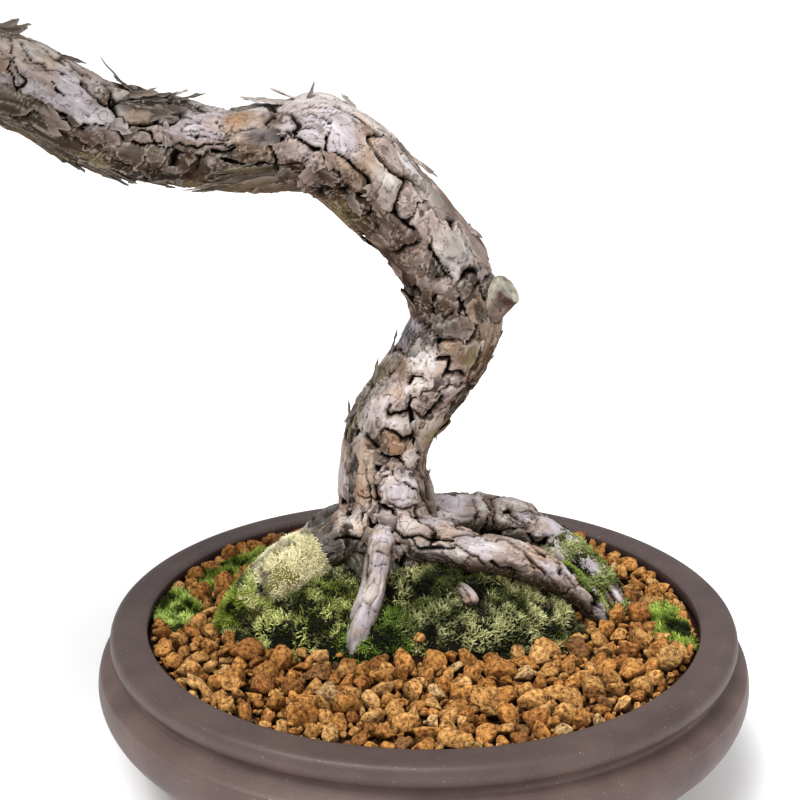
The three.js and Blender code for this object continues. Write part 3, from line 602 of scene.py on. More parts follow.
def laid_out(radii, random, closeness, foot, onto_moss):
    """Places for grains of these radii, largest first, none nearer than closeness times touching."""
    size, placed, cells = 7.0, [], {}
    for radius in sorted(radii, reverse=True):
        for _ in range(TRIES_A_GRAIN):
            reach = INSIDE_RADIUS - radius * 0.8
            x, y = random.uniform(-reach, reach, 2)
            bare = mound_radius(x, y) < foot + random.uniform(-0.05, 0.03)
            if x * x + y * y > reach * reach or bare:
                continue
            if on_moss(x, y, 1 - onto_moss * random.uniform(0.3, 1)):
                continue
            cell = (int(x // size), int(y // size))
            near = [other for i in (-1, 0, 1) for j in (-1, 0, 1)
                    for other in cells.get((cell[0] + i, cell[1] + j), ())]
            if all((x - a) ** 2 + (y - b) ** 2 > (closeness * (radius + c)) ** 2 for a, b, c in near):
                cells.setdefault(cell, []).append((x, y, radius))
                placed.append((x, y, radius))
                break
    return np.array(placed)


typical = np.clip(grain_random.lognormal(math.log(1.9), 0.4, 3000), 1.0, 5.0)
upper_grains = laid_out(typical, grain_random, 0.8, 0.87, 0.09)
lower_grains = laid_out(grain_random.uniform(1.0, 1.5, 1000), grain_random, 0.86, 0.9, 0.0)
print("grains:", len(upper_grains), "on top,", len(lower_grains), "small ones between them")

# %% [markdown]
# ### The colours of akadama
# It is ochre when dry and browner when damp, and each bag holds a few dark and a few reddish
# grains. The mesh gives each grain its own colour, darker towards its underside, partly damp and
# partly painted shade, and a little lighter on top as painted light. The finish adds the fine dust
# and pores.

# %% Colours of the grains
GRAIN_COLOURS = ["#C5985F", "#BE8C52", "#CBA26B", "#B2814A", "#A07142", "#CFAD7E", "#84623F", "#564433"]
GRAIN_SHARES = [0.27, 0.26, 0.12, 0.18, 0.11, 0.02, 0.03, 0.01]


def turned_at_random(random, count):
    """Rotation matrices, even over all turns."""
    w, x, y, z = unit(random.normal(size=(count, 4))).T
    return np.stack([1 - 2 * (y * y + z * z), 2 * (x * y - z * w), 2 * (x * z + y * w),
                     2 * (x * y + z * w), 1 - 2 * (x * x + z * z), 2 * (y * z - x * w),
                     2 * (x * z - y * w), 2 * (y * z + x * w), 1 - 2 * (x * x + y * y)],
                    axis=-1).reshape(-1, 3, 3)


def grain_heap(places, shapes, faces, lift, random):
    """One set of points, faces and colours for many grains."""
    count = len(places)
    turns = turned_at_random(random, count)
    pick = random.integers(0, len(shapes), count)
    colours = random.choice(len(GRAIN_COLOURS), count, p=GRAIN_SHARES)
    colours = np.array([linear(c) for c in GRAIN_COLOURS])[colours]
    colours = colours * random.uniform(0.92, 1.3, (count, 1))
    height = (ground_height(places[:, 0], places[:, 1]) + lift * places[:, 2]
              + random.uniform(-0.5, 0.5, count))
    height += 0.8 * noise(flat_places(*places[:, :2].T), 17.0, 8)
    points = np.stack(shapes)[pick] * places[:, 2][:, None, None] * 1.12
    points = np.einsum("nij,nkj->nki", turns, points)
    # Each grain darker towards its underside and a little lighter on top: partly damp clay, and partly
    # painted shade below and painted light above.
    damp_and_painted_light_by_height = 0.42 + 0.66 * smooth_step(-0.75, 0.45, points[:, :, 2] / places[:, 2][:, None])
    points += np.column_stack([places[:, :2], height])[:, None, :]
    tints = colours[:, None, :] * damp_and_painted_light_by_height[:, :, None]
    return points.reshape(-1, 3), repeated(faces, count, len(shapes[0])), tints.reshape(-1, 3)


near_side = (upper_grains[:, 1] < 14) & (upper_grains[:, 2] > 2.1)
heaps = {
    "akadama_grains_front": [(upper_grains[near_side], fine_grains, fine_ball[1], 0.3)],
    "akadama_grains_back": [(upper_grains[~near_side], coarse_grains, coarse_ball[1], 0.3),
                            (lower_grains, coarse_grains, coarse_ball[1], -0.6)],
}
print("heaps:", list(heaps))

# %% The akadama finish
akadama = new_finish("dried_akadama_clay", {"Roughness": 0.93, "Specular IOR Level": 0.2})
add_node(akadama, "place", "TexCoord")
add_node(akadama, "tint", "Attribute", {"attribute_name": "grain_tint"})
add_node(akadama, "pores", "TexNoise", {"Scale": 1 / (1.3 * MM), "Detail": 5.0, "Roughness": 0.68},
         {"Vector": "place.Object"})
add_node(akadama, "dust", "ValToRGB", {"stops": [(0.36, "#5E452E"), (0.62, "#FFFFFF")]},
         {"Fac": "pores.Fac"})
add_node(akadama, "colour", "Mix", {"data_type": "RGBA", "blend_type": "MULTIPLY", 0: 0.9},
         {6: "tint.Color", 7: "dust.Color"})
add_node(akadama, "holes", "TexVoronoi", {"Scale": 1 / (1.2 * MM)}, {"Vector": "place.Object"})
add_node(akadama, "hole", "MapRange", {"From Min": 0.26, "From Max": 0.16, "To Max": 0.85},
         {"Value": "holes.Distance"})
add_node(akadama, "some", "MapRange", {"From Min": 0.52, "From Max": 0.44}, {"Value": "pores.Fac"})
add_node(akadama, "open", "Math", {"operation": "MULTIPLY"}, {0: "hole.Result", 1: "some.Result"})
add_node(akadama, "pitted", "Mix", {"data_type": "RGBA", 7: rgba("#2E1D12")},
         {0: "open.Value", 6: "colour.2"})
add_node(akadama, "bump", "Bump", {"Strength": 1.0, "Distance": 0.9 * MM}, {"Height": "pores.Fac"})
connect(akadama, "shader", {"Base Color": "pitted.2", "Normal": "bump.Normal"})
for name, layers in heaps.items():
    parts = [grain_heap(places, shapes, faces, lift, grain_random) for places, shapes, faces, lift in layers]
    points, groups = joined_shells([(part[0], [part[1]]) for part in parts])
    tints = np.vstack([part[2] for part in parts])
    add_piece(name, make_mesh(name, points, groups, {"grain_tint": tints}), akadama)
    print(name, triangle_count[name], "triangles")

# %% [markdown]
# ## Trunk, roots and the cut stub
# The wood grew as one piece: the trunk leans, elbows twice and runs level towards the crown, and
# its roots spread from a flare over the mound. Overlapping tubes would meet in sharp creases, so
# closed tubes are fused by Blender's voxel remesh, as wax would be, and smoothed where they meet.
# The even mesh that this gives is then fine enough to carry the bark as real relief.

# %% Paths of the wood, x y z and radius
TRUNK = [
    [-12, 5, 56, 17], [-12, 4, 68, 20.5], [-12, 4, 80, 17], [-13, 5, 94, 15.4], [-13.4, 5, 106, 14.3],
    [-11, 5, 118, 14.5], [-3.8, 5, 131, 14.8], [5, 4, 143.5, 14.9], [10.7, 2, 157, 14.5],
    [7, 0, 171.5, 14.3], [-1.7, -2, 184.7, 13.8], [-11.7, -5, 196.7, 13.7], [-22.7, -8, 208, 14.8],
    [-33.5, -10, 214.5, 15], [-46, -12, 214, 12.9], [-59.4, -14, 213.4, 12.1], [-74.2, -16, 216.4, 12.9],
    [-88.7, -19, 219.2, 13.4], [-102.8, -22, 224.3, 13.4], [-116.4, -25, 232.8, 13.2],
    [-130, -28, 240, 12.8], [-147, -30, 249, 12.4], [-164, -29, 261, 12], [-180, -25, 276, 11.2],
    [-192, -18, 293, 10.2], [-199, -8, 310, 8.8], [-200, 2, 327, 7.2], [-197, 9, 344, 5.6],
    [-195.5, 10.5, 350, 5],
]
ROOTS = {
    "front": [
        [-13, -8, 86, 3.5], [-14, -13, 84.5, 4.3], [-14.8, -17.6, 81.5, 4.5], [-15.8, -20.3, 76, 4.4],
        [-17.2, -22.8, 69.5, 4.5], [-19.3, -25.4, 64, 4.8], [-20.8, -27.6, 58.5, 4.7],
        [-22, -29.6, 51, 4.2]],
    "right": [
        [-12, 0, 82, 9], [3, -8, 84, 7.4], [16.5, -12, 81.8, 6.9], [27.4, -12, 79.8, 6.3],
        [38.5, -10, 74.7, 6], [46.8, -8, 69.2, 5.4], [53.9, -5, 62.1, 4.6], [59.5, -3, 53, 3.6],
        [64, 0, 46, 2.6]],
    "back_right": [
        [-8, 6, 82, 9], [8, 14, 85, 7.8], [21, 20, 82.4, 7.6], [32, 22, 78.7, 7.7], [41.4, 22, 73, 7.4],
        [50.7, 18, 67.7, 6.6], [59.5, 14, 61.9, 5.6], [66, 10, 55, 4.4], [71, 8, 47, 3]],
    "left": [
        [-14, 4, 84, 10], [-24, 0, 83.5, 8.8], [-33, -5, 80, 7.7], [-42, -8, 75.5, 7.2],
        [-51, -9, 67.5, 6.6], [-59, -9, 59, 5.4], [-65, -8, 50, 3.6]],
    "back_left": [
        [-14, 8, 82, 10], [-24, 20, 78.5, 8.4], [-32, 32, 73, 7], [-39, 44, 65, 5.8],
        [-45, 54, 55, 4.2], [-49, 60, 48, 3]],
    "back": [
        [-10, 10, 80, 9], [-4, 26, 76.5, 7.6], [2, 40, 70, 6.2], [8, 52, 60, 4.8], [12, 60, 50, 3.2]],
    "cut_end": [
        [11, -12, 71, 2.4], [13.5, -18, 70.5, 2.9], [15.2, -22.5, 69.6, 3.3], [16, -25.5, 68.8, 2.9]],
}
STUB = [[9, 1, 154, 9], [16, -2, 160, 7.6], [22.5, -4.5, 165.5, 6], [26.5, -6, 168.8, 5.2]]

trunk = Limb(TRUNK)
limbs = [trunk, *(Limb(path) for path in ROOTS.values()), Limb(STUB)]
print("trunk", round(trunk.length), "mm long; roots", [round(limb.length) for limb in limbs[1:-1]])

# %% [markdown]
# ### Fusing the tubes
# A voxel remesh lays a fine grid through the tubes and draws one skin round all of them. A voxel of
# about half a millimetre keeps the roots apart. The skin has small steps, so a few rounds of
# moving each point to the mean of its neighbours smooth it at the base, where the roots join.


# %% Fused wood
def modified(points, groups, kind, settings, attributes=None):
    """What one modifier makes of these shells: points in mm, triangles and the attributes."""
    uncut = in_scene("wood_in_work", make_mesh("wood_in_work", points, groups, attributes))
    made = with_modifier(uncut, kind, settings)
    made.calc_loop_triangles()
    places = np.zeros(len(made.vertices) * 3, np.float32)
    triangles = np.zeros(len(made.loop_triangles) * 3, np.int32)
    made.vertices.foreach_get("co", places)
    made.loop_triangles.foreach_get("vertices", triangles)
    kept = {}
    for key, values in (attributes or {}).items():
        width, field = (1, "value") if values.ndim == 1 else (4, "color")
        numbers = np.zeros(len(made.vertices) * width, np.float32)
        made.attributes[key].data.foreach_get(field, numbers)
        kept[key] = numbers if width == 1 else numbers.reshape(-1, 4)[:, :3]
    return places.reshape(-1, 3) / MM - POT_PLACE, triangles.reshape(-1, 3), kept


def neighbours_mean(values, triangles):
    """Each point's mean over the points it shares an edge with."""
    ends = np.vstack([triangles[:, [0, 1]], triangles[:, [1, 2]], triangles[:, [2, 0]]])
    count = np.bincount(ends[:, 0], minlength=len(values)) + np.bincount(ends[:, 1], minlength=len(values))
    total = np.empty_like(values)
    for k in range(values.shape[1]):
        total[:, k] = np.bincount(ends[:, 0], values[ends[:, 1], k], len(values))
        total[:, k] += np.bincount(ends[:, 1], values[ends[:, 0], k], len(values))
    return total / np.maximum(count, 1)[:, None]


WOOD_VOXEL = 0.52
SMOOTHING_ROUNDS = 22
wood, wood_faces, _ = modified(*joined_shells([limb.tube(1.5, 40) for limb in limbs]), "REMESH",
                               {"mode": "VOXEL", "voxel_size": WOOD_VOXEL * MM})
near_base = smooth_step(112, 96, wood[:, 2])[:, None]
for _ in range(SMOOTHING_ROUNDS):
    wood += near_base * (neighbours_mean(wood, wood_faces) - wood)
print("fused wood:", len(wood), "points,", len(wood_faces), "triangles")


# %% Where each point lies on the wood
def nearest_on(limb, points, chunk=20000):
    """How far along the limb each point is, its angle round it from the front, and its height over it."""
    along, degrees, height = (np.empty(len(points)) for _ in range(3))
    for start in range(0, len(points), chunk):
        part = points[start : start + chunk]
        square = (part**2).sum(1)[:, None] - 2 * part @ limb.at.T + (limb.at**2).sum(1)[None, :]
        k = square.argmin(axis=1)
        away = part - limb.at[k]
        along[start : start + chunk] = limb.along[k] + (away * limb.tangent[k]).sum(1)
        across, ahead = (away * limb.side[k]).sum(1), (away * limb.front[k]).sum(1)
        degrees[start : start + chunk] = np.degrees(np.arctan2(across, ahead))
        height[start : start + chunk] = np.linalg.norm(away, axis=1) - limb.radius[k]
    return along, degrees, height


def outward(points, triangles):
    """A unit normal at each point."""
    corner = points[triangles]
    facing = np.cross(corner[:, 1] - corner[:, 0], corner[:, 2] - corner[:, 0])
    corners, count = triangles.ravel(), len(points)
    return unit(np.stack([np.bincount(corners, np.repeat(axis, 3), count) for axis in facing.T], axis=1))


seats = [nearest_on(limb, wood) for limb in limbs]
owner = np.argmin(np.stack([seat[2] for seat in seats]), axis=0)
wood_along = np.choose(owner, [seat[0] for seat in seats])
wood_degrees = np.choose(owner, [seat[1] for seat in seats])
print("points on trunk, roots and stub:", np.bincount(owner).tolist())

# %% [markdown]
# ## The bark of an old black pine
# Black pine bark splits as the trunk swells. It breaks into plates a few centimetres long with
# deep dark cracks between them, and each plate is a stack of thin sheets that peel from its edges,
# so that plates overlap like slates and show stepped edges. Old tops are silver-grey with a hint
# of lilac. Where a sheet has just come off, the bark below is tan or orange.
#
# Each plate here is a place on the trunk with its own half widths, its height and its tone. The
# plates that the front of the tree shows are listed, and the rest are drawn at random. A point of
# the wood belongs to the plate that is nearest by the plates' own measure, and where the two
# nearest are equally near, there is a crack.

# %% Plates on the front of the trunk
# mm along the trunk, degrees round it from the front, half length, half width, rise, tone
PLATES = [
    (34, -4, 5, 5, 1.3, "lilac"), (34, 25, 5, 6, 1.5, "pink"), (34, 53, 5, 4, 1, "grey"),
    (36, -35, 6, 6, 1.6, "pink"), (40, 93, 10, 3.2, 2.8, "grey"), (43, -54, 9, 3, 0.8, "dark"),
    (44, 21, 7, 7, 2.5, "pale"), (45, -22, 7, 4, 1.1, "tan"), (52, 25, 2.6, 7, 2.1, "pale"),
    (54, -53, 9, 3, 1, "dark"), (54, -28, 8, 3.5, 1.2, "tan"), (54, 21, 3, 7, 1.7, "pink"),
    (58, -8, 7, 3, 0.9, "dark"), (60, 34, 7, 4, 1.8, "pale"), (62, 5, 6, 5, 1.2, "orange"),
    (63, -60, 9, 2.6, 1.9, "olive"), (63, -38, 8, 2.4, 2.4, "grey"), (65, -24, 8, 3, 1.3, "dark"),
    (69, -66, 10, 2.4, 2.2, "grey"), (69, 2, 5, 4.5, 1.7, "pale"), (69, 46, 13, 3.5, 2.1, "pale"),
    (70, -47, 9, 2.2, 1.2, "grey"), (70, -28, 7, 3.5, 1.5, "pink"), (74, -9, 4, 3, 1.3, "tan"),
    (75, -64, 10, 2.6, 1.8, "olive"), (75, 79, 6, 4, 1.1, "brown"), (77, -31, 6, 4, 1.4, "pink"),
    (83, -35, 5, 4, 1.5, "brown"), (83, 13, 4, 3.5, 1.5, "pink"), (83, 64, 7, 3.5, 0.6, "dark"),
    (84, -8, 4, 4, 2, "pale"), (89, -19, 5, 4.5, 1.7, "pale"), (89, 29, 7, 3, 1.9, "lilac"),
    (92, -2, 5, 4, 1.4, "pink"), (92, 25, 7, 3, 1.4, "brown"), (95, -26, 5, 4, 1.5, "pale"),
    (98, 67, 6, 3.5, 1.1, "brown"), (99, -47, 7, 4, 1.1, "dark"), (101, 25, 9, 5, 1.5, "pink"),
    (102, -6, 5, 4, 1.2, "tan"), (106, 43, 10, 5, 1.9, "tan"), (111, -9, 5, 5, 1.9, "grey"),
    (111, 14, 6, 3, 1.6, "pink"), (115, 30, 6, 4.5, 1.6, "orange"), (117, 54, 5, 4, 0.6, "dark"),
    (118, -14, 7, 5, 1.1, "brown"), (120, -50, 8, 5, 1, "brown"), (122, 26, 5, 4, 1.2, "dark"),
    (124, -4, 6, 4, 1.2, "pink"), (128, -26, 6, 5, 1, "brown"), (128, 59, 8, 3.5, 2.3, "pink"),
    (131, -73, 8, 5, 0.8, "brown"), (131, -1, 6, 3, 1.6, "dark"), (132, 29, 8, 6.5, 2.4, "pale"),
    (138, -17, 7, 6, 2, "pink"), (145, 27, 7, 5, 1.4, "pink"), (146, -50, 9, 5, 0.8, "brown"),
    (147, -8, 5, 3.5, 1.2, "brown"), (149, 54, 8, 3, 2.2, "grey"), (152, -17, 8, 5, 0.9, "brown"),
    (153, 32, 6, 5, 1.5, "pink"), (156, -47, 7, 4, 0.7, "olive"), (161, 25, 7, 6, 1.7, "pale"),
    (162, -25, 4, 3.5, 1.3, "brown"), (167, 49, 8, 3.5, 2.3, "pink"), (169, -42, 8, 4.5, 0.8, "brown"),
    (170, 23, 7, 6, 1.2, "tan"), (174, -1, 8, 5, 1.3, "tan"), (178, -33, 8, 5, 0.9, "brown"),
    (179, 77, 9, 4, 2, "pale"), (181, 36, 12, 7.5, 2.6, "lilac"), (184, -9, 7, 6, 1.4, "pink"),
    (184, 97, 5, 6, 2.2, "pale"), (185, 18, 6, 5, 1.7, "lilac"), (187, 62, 6, 5, 1.8, "pink"),
    (188, 7, 4, 4, 1.4, "pink"), (191, 39, 6, 5, 2.2, "lilac"), (192, 1, 9, 6, 1.9, "pink"),
    (195, -28, 9, 4, 1.2, "olive"), (198, 97, 8, 3, 1.6, "grey"), (202, -7, 8, 2.4, 1.8, "dark"),
    (203, 19, 10, 2.2, 1.9, "grey"), (204, 7, 10, 2.6, 1.5, "dark"), (207, 53, 10, 4, 2, "tan"),
    (209, -30, 12, 4.5, 2.6, "grey"), (216, 20, 8, 3, 1.5, "pink"), (217, 76, 9, 2.5, 1.7, "grey"),
    (222, 33, 9, 5.5, 2, "lilac"), (223, -26, 8, 4, 0.9, "brown"), (225, 10, 7, 3, 1.2, "brown"),
    (227, 73, 8, 3, 1.9, "dark"), (229, 41, 6, 4, 1.2, "grey"), (231, -54, 9, 2.4, 1.4, "dark"),
    (233, -22, 7, 4.5, 1.2, "olive"), (237, 56, 8, 4.5, 1.6, "dark"), (238, 12, 8, 3, 1.4, "pink"),
    (241, -16, 7, 4.5, 1.4, "grey"), (241, 36, 8, 3, 1.3, "grey"), (246, 62, 6, 4, 1.6, "pale"),
    (247, 6, 8, 3, 1, "brown"), (247, 99, 7, 3.5, 1.8, "dark"), (248, -78, 11, 2.4, 1.3, "dark"),
    (249, -27, 8, 4, 1.3, "olive"), (253, 56, 9, 4, 1.7, "brown"), (256, -27, 9, 4, 0.8, "olive"),
    (259, -58, 10, 2.6, 1.5, "olive"), (260, -6, 9, 3, 1.1, "brown"), (260, 87, 8, 4, 1.9, "pink"),
    (264, 33, 12, 7, 2.4, "lilac"), (268, -10, 8, 3.5, 1, "olive"), (269, -51, 10, 3, 1.6, "grey"),
    (273, 58, 10, 4, 2.2, "pale"), (275, -15, 9, 4, 1.2, "olive"), (280, 21, 6, 4, 1.4, "brown"),
]
print("plates listed:", len(PLATES))

# %% Tones of the plates
# Each tone's colour, and how much of the bark's long strips it has
TONES = {"lilac": "#C6BEC8", "pale": "#D2CAC4", "pink": "#B29E95", "tan": "#AF9782", "orange": "#B08765",
         "brown": "#7E6656", "olive": "#857A5C", "grey": "#948C86", "dark": "#544A43"}
RIDGED = {"pink": 0.05, "tan": 0.1, "brown": 0.45, "olive": 0.75, "grey": 0.45, "dark": 1.0}
tone_names = list(TONES)
tone_colours = np.array([linear(c) for c in TONES.values()])
tone_ridged = np.array([RIDGED.get(name, 0.0) for name in TONES])
print("tones:", tone_names)

# %% Cracks that show, and where sheets lie at the flare
# width and depth in mm, then places: mm along the trunk and degrees round it
CRACKS_SEEN = [(2.2, 3.0, [(81, -13), (79, -3), (74, 12), (67, 31), (57, 51), (46, 70), (38, 80)]),
               (1.1, 2.0, [(58, -8), (57, 3), (56, 23), (53, 44)]),
               (0.6, 1.2, [(52, -6), (52, 11), (48, 29), (44, 46)]),
               (0.9, 2.2, [(187, 43), (184, 35), (183, 9), (180, -10), (173, -20), (166, -30),
                           (160, -30)]), (1.2, 2.2,
                                          [(160, -31), (157, -7), (154, 4), (151, 6), (146, 5)]),
               (1.8, 2.2, [(143, 21), (140, 14), (137, 8), (132, 4), (129, 4), (126, 12)]),
               (1.6, 2.4, [(115, 1), (117, 8), (118, 19), (121, 39), (118, 77)]),
               (1.2, 2.0, [(120, 7), (115, 6), (111, 14), (108, 26)]),
               (1.4, 2.0, [(113, 52), (112, 42), (110, 30)]),
               (0.9, 2.2, [(249, 60), (248, 41), (246, 27), (241, 19), (235, 18), (233, 4), (230, -1),
                           (225, 4), (221, 7), (216, 13), (209, 17)]),
               (0.9, 2.0, [(276, -34), (271, -23), (267, -11), (262, -7), (258, -3), (254, 4),
                           (249, 11)]), (1.0, 2.0,
                                         [(279, 61), (277, 52), (275, 44), (273, 45), (271, 43),
                                          (269, 49), (266, 54)]),
               (0.9, 2.0, [(273, 68), (271, 64), (270, 60), (268, 65), (266, 76), (264, 77), (261, 74),
                           (258, 78)]), (0.5, 1.2, [(268, 31), (267, 28), (263, 26)]),
               (0.8, 1.6, [(282, 61), (280, 34), (278, 18), (276, 1)]),
               (0.9, 1.8, [(198, 64), (198, 38), (198, 11), (197, -26)]),
               (0.8, 1.6, [(198, 32), (192, 21), (188, 9), (184, 4)]),
               (1.0, 2.0, [(274, -73), (266, -49), (259, -40), (254, -52), (249, -52), (245, -50),
                           (238, -46), (230, -74)]),
               (0.8, 1.6, [(69, -96), (66, -74), (63, -49), (59, -55), (55, -65)]),
               (0.7, 1.4, [(73, -63), (70, -50), (66, -45), (62, -45)]),
               (0.8, 1.6, [(86, 16), (90, 25), (92, 39), (93, 58)]),
               (1.0, 1.8, [(52, -24), (46, -15), (39, -20), (33, -25)]),]
# The same at the flare and on the roots, with places x y z
SEAMS_SEEN = [(1.2, 2.0, [[-16, -9, 104], [-15, -10, 99], [-15, -11, 93], [-15, -11, 91], [-17, -11, 89],
                          [-20, -10, 88], [-20, -10, 85]]),
              (1.4, 2.0, [[-20, -10, 85], [-24, -9, 85], [-27, -10, 85], [-29, -11, 85]]),
              # This seam lies where the left side of the front root is in shade: its dark colour and stain
              # are painted shadow over a cut groove.
              (1.8, 2.0, [[-20, -10, 85], [-19, -12, 82], [-19, -20, 83], [-19, -21, 81],
                          [-19, -24, 77]]), (0.5, 0.9,
                                             [[-17, -17, 86], [-15, -17, 87], [-13, -17, 87],
                                              [-11, -16, 87], [-10, -16, 85], [-10, -13, 81]]),
              (0.9, 1.2, [[-16, -20, 85], [-14, -20, 85], [-12, -20, 84], [-10, -19, 82]]),
              # This seam lies where the right side of the front root is in shade: its dark colour and stain
              # are painted shadow over a cut groove.
              (1.6, 2.0, [[-10, -16, 84], [-9, -14, 80], [-8, -14, 78]]),
              (0.9, 1.6, [[-12, -10, 98], [-10, -10, 97], [-7, -9, 95], [-4, -8, 95], [-3, -7, 95]]),
              (1.4, 2.2, [[-12, -11, 91], [-10, -11, 89], [-8, -11, 88], [-7, -11, 86], [-4, -12, 86],
                          [-2, -13, 87], [1, -15, 87], [10, -16, 87]]),
              (1.0, 1.8, [[-4, -8, 94], [-3, -8, 92], [-2, -7, 91], [0, -7, 91], [3, -8, 91],
                          [7, -8, 91]]), (1.4, 2.0,
                                          [[-2, -4, 102], [-1, -4, 100], [0, -2, 97], [1, -2, 94],
                                           [3, 0, 90]]),
              (0.7, 1.2, [[3, -11, 91], [3, -13, 90], [2, -14, 88], [3, -15, 87]]),
              (0.5, 1.0, [[3, -11, 91], [4, -14, 89]]),
              (1.0, 1.6, [[-4, -12, 86], [-3, -13, 85], [-2, -14, 83], [1, -15, 84], [4, -16, 84],
                          [10, -17, 85]]), (0.9, 1.4,
                                            [[-23, -7, 99], [-20, -9, 99], [-17, -10, 99],
                                             [-15, -10, 98]]),
              (0.8, 1.4, [[-30, -3, 90], [-27, -4, 91], [-24, -6, 93], [-22, -8, 96]]),
              (1.3, 2.2, [[10, -15, 88], [15, -14, 89], [21, -11, 88], [28, -9, 86]]),
              (0.8, 1.4, [[10, -17, 86], [13, -18, 84], [17, -19, 83], [19, -19, 80]]),
              (0.9, 1.6, [[28, -13, 86], [30, -15, 85], [32, -15, 84], [36, -16, 79], [40, -16, 75]]),
              (0.9, 1.6, [[37, -9, 82], [41, -9, 80], [44, -11, 78], [46, -13, 75], [50, -12, 70]]),
              (1.2, 2.0, [[23, 18, 89], [24, 14, 87], [24, 13, 82], [23, 13, 79]]),
              (0.8, 1.4, [[16, 13, 90], [18, 11, 88], [19, 11, 84]]),
              (1.0, 1.8, [[29, 17, 87], [31, 15, 83], [34, 15, 81]]),
              (0.8, 1.4, [[37, 21, 84], [39, 17, 82], [38, 16, 80]]),
              (0.5, 0.8, [[-18, -22, 81], [-14, -23, 81], [-11, -20, 80]]),
              (0.6, 0.9, [[-20, -27, 70], [-17, -28, 69], [-15, -27, 67]]),]
# middle, radius in mm and tone of the plates that show at the flare
PATCHES_SEEN = [
    ([-8, -9, 102], 7, "lilac"), ([-23, -8, 90], 5, "pale"), ([-13, -13, 89], 5, "lilac"),
    ([-4, -10, 89], 5, "pale"), ([0, -13, 89], 3.5, "pink"), ([8, -13, 90], 4, "tan"),
    ([18, -18, 85], 4.5, "lilac"), ([39, -13, 81], 2.6, "orange"), ([29, -16, 84], 5, "pink"),
    ([44, -15, 71], 5, "pink"), ([16, 9, 86], 5, "pink"), ([28, 15, 85], 4, "pale"),
    ([-15, -23, 81], 5, "lilac"), ([-16, -26, 74], 5, "pale"), ([-18, -30, 67], 5, "lilac"),
    ([-26, -8, 88], 3, "tan"), ([-17, -10, 100], 3.5, "tan"), ([-22, -7, 100], 3.5, "orange"),
    ([-56, -21, 223], 3.0, "orange"), ([-46, -20, 223], 4, "brown"),
]
print("cracks and seams listed:", len(CRACKS_SEEN), len(SEAMS_SEEN))


# %% More plates, at random
TRUNK_RADIUS = 14.5
ROUND = 2 * np.pi * TRUNK_RADIUS
ROUND_A_ROOT = 40.0


def plates_filled(seen, length, around, spacing, random, tones):
    """The given plates, with others of about this spacing where there is still room."""
    rows = list(seen)
    for _ in range(int(14 * length * around / spacing**2)):
        u, v = random.uniform(-5, length + 5), random.uniform(-around / 2, around / 2)
        a, b = spacing * random.uniform(0.5, 0.95), spacing * random.uniform(0.32, 0.55)
        beside = np.array([[row[0] - u, (row[1] - v + around / 2) % around - around / 2, row[2], row[3]]
                           for row in rows])
        if rows and np.min(np.hypot(beside[:, 0] / (a + beside[:, 2]),
                                    beside[:, 1] / (b + beside[:, 3]))) < 0.86:
            continue
        rows.append([u, v, a, b, random.uniform(0.5, 2.5), random.choice(len(tone_names), p=tones)])
    return np.array(rows, float)


plate_random = np.random.default_rng(29)
seen_plates = [[along, math.radians(degrees) * TRUNK_RADIUS, *sizes, tone_names.index(tone)]
               for along, degrees, *sizes, tone in PLATES]
trunk_plates = plates_filled(seen_plates, trunk.length, ROUND, 12.5, plate_random,
                             [0.12, 0.17, 0.24, 0.08, 0.02, 0.14, 0.07, 0.12, 0.04])
root_plates = plates_filled([], 150, ROUND_A_ROOT, 6.8, plate_random,
                            [0.24, 0.24, 0.28, 0.06, 0.01, 0.08, 0.01, 0.07, 0.01])
print("plates:", len(seen_plates), "seen,", len(trunk_plates), "on the trunk,", len(root_plates),
      "for roots")


# %% The nearest plates
def unrolled(u, v, around):
    """Places on the limb as if it were straight, so that noise meets itself behind it."""
    radius = around / (2 * np.pi)
    return np.column_stack([u, radius * np.cos(v / radius), radius * np.sin(v / radius)])


def nearest_plates(u, v, around, plates, chunk=9000):
    """The two nearest plates by their own measure, how near they are, and the blended tone and ridges."""
    order = np.argsort(u)
    two, near = np.empty((len(u), 2), int), np.empty((len(u), 2))
    soft_tone, ridged = np.empty((len(u), 3)), np.empty(len(u))
    reach = plates[:, 2].max() * 2.6 + 6
    for start in range(0, len(u), chunk):
        part = order[start : start + chunk]
        here = np.where((plates[:, 0] > u[part].min() - reach) & (plates[:, 0] < u[part].max() + reach))[0]
        du = (u[part][:, None] - plates[here, 0]) / plates[here, 2]
        dv = ((v[part][:, None] - plates[here, 1] + around / 2) % around - around / 2) / plates[here, 3]
        away = np.hypot(du, dv) - 0.1 * (plates[here, 4] - 1.5)
        pair = np.argpartition(away, 1, axis=1)[:, :2]
        values = np.take_along_axis(away, pair, axis=1)
        swap = values[:, 0] > values[:, 1]
        pair[swap], values[swap] = pair[swap][:, ::-1], values[swap][:, ::-1]
        two[part], near[part] = here[pair], values
        share = np.exp(-3.2 * (away - values[:, :1]))
        share /= share.sum(axis=1)[:, None]
        kinds = plates[here, 5].astype(int)
        soft_tone[part], ridged[part] = share @ tone_colours[kinds], share @ tone_ridged[kinds]
    return two[:, 0], two[:, 1], near[:, 0], near[:, 1], soft_tone, ridged


print("plates of each tone:", np.bincount(trunk_plates[:, 5].astype(int)).tolist())


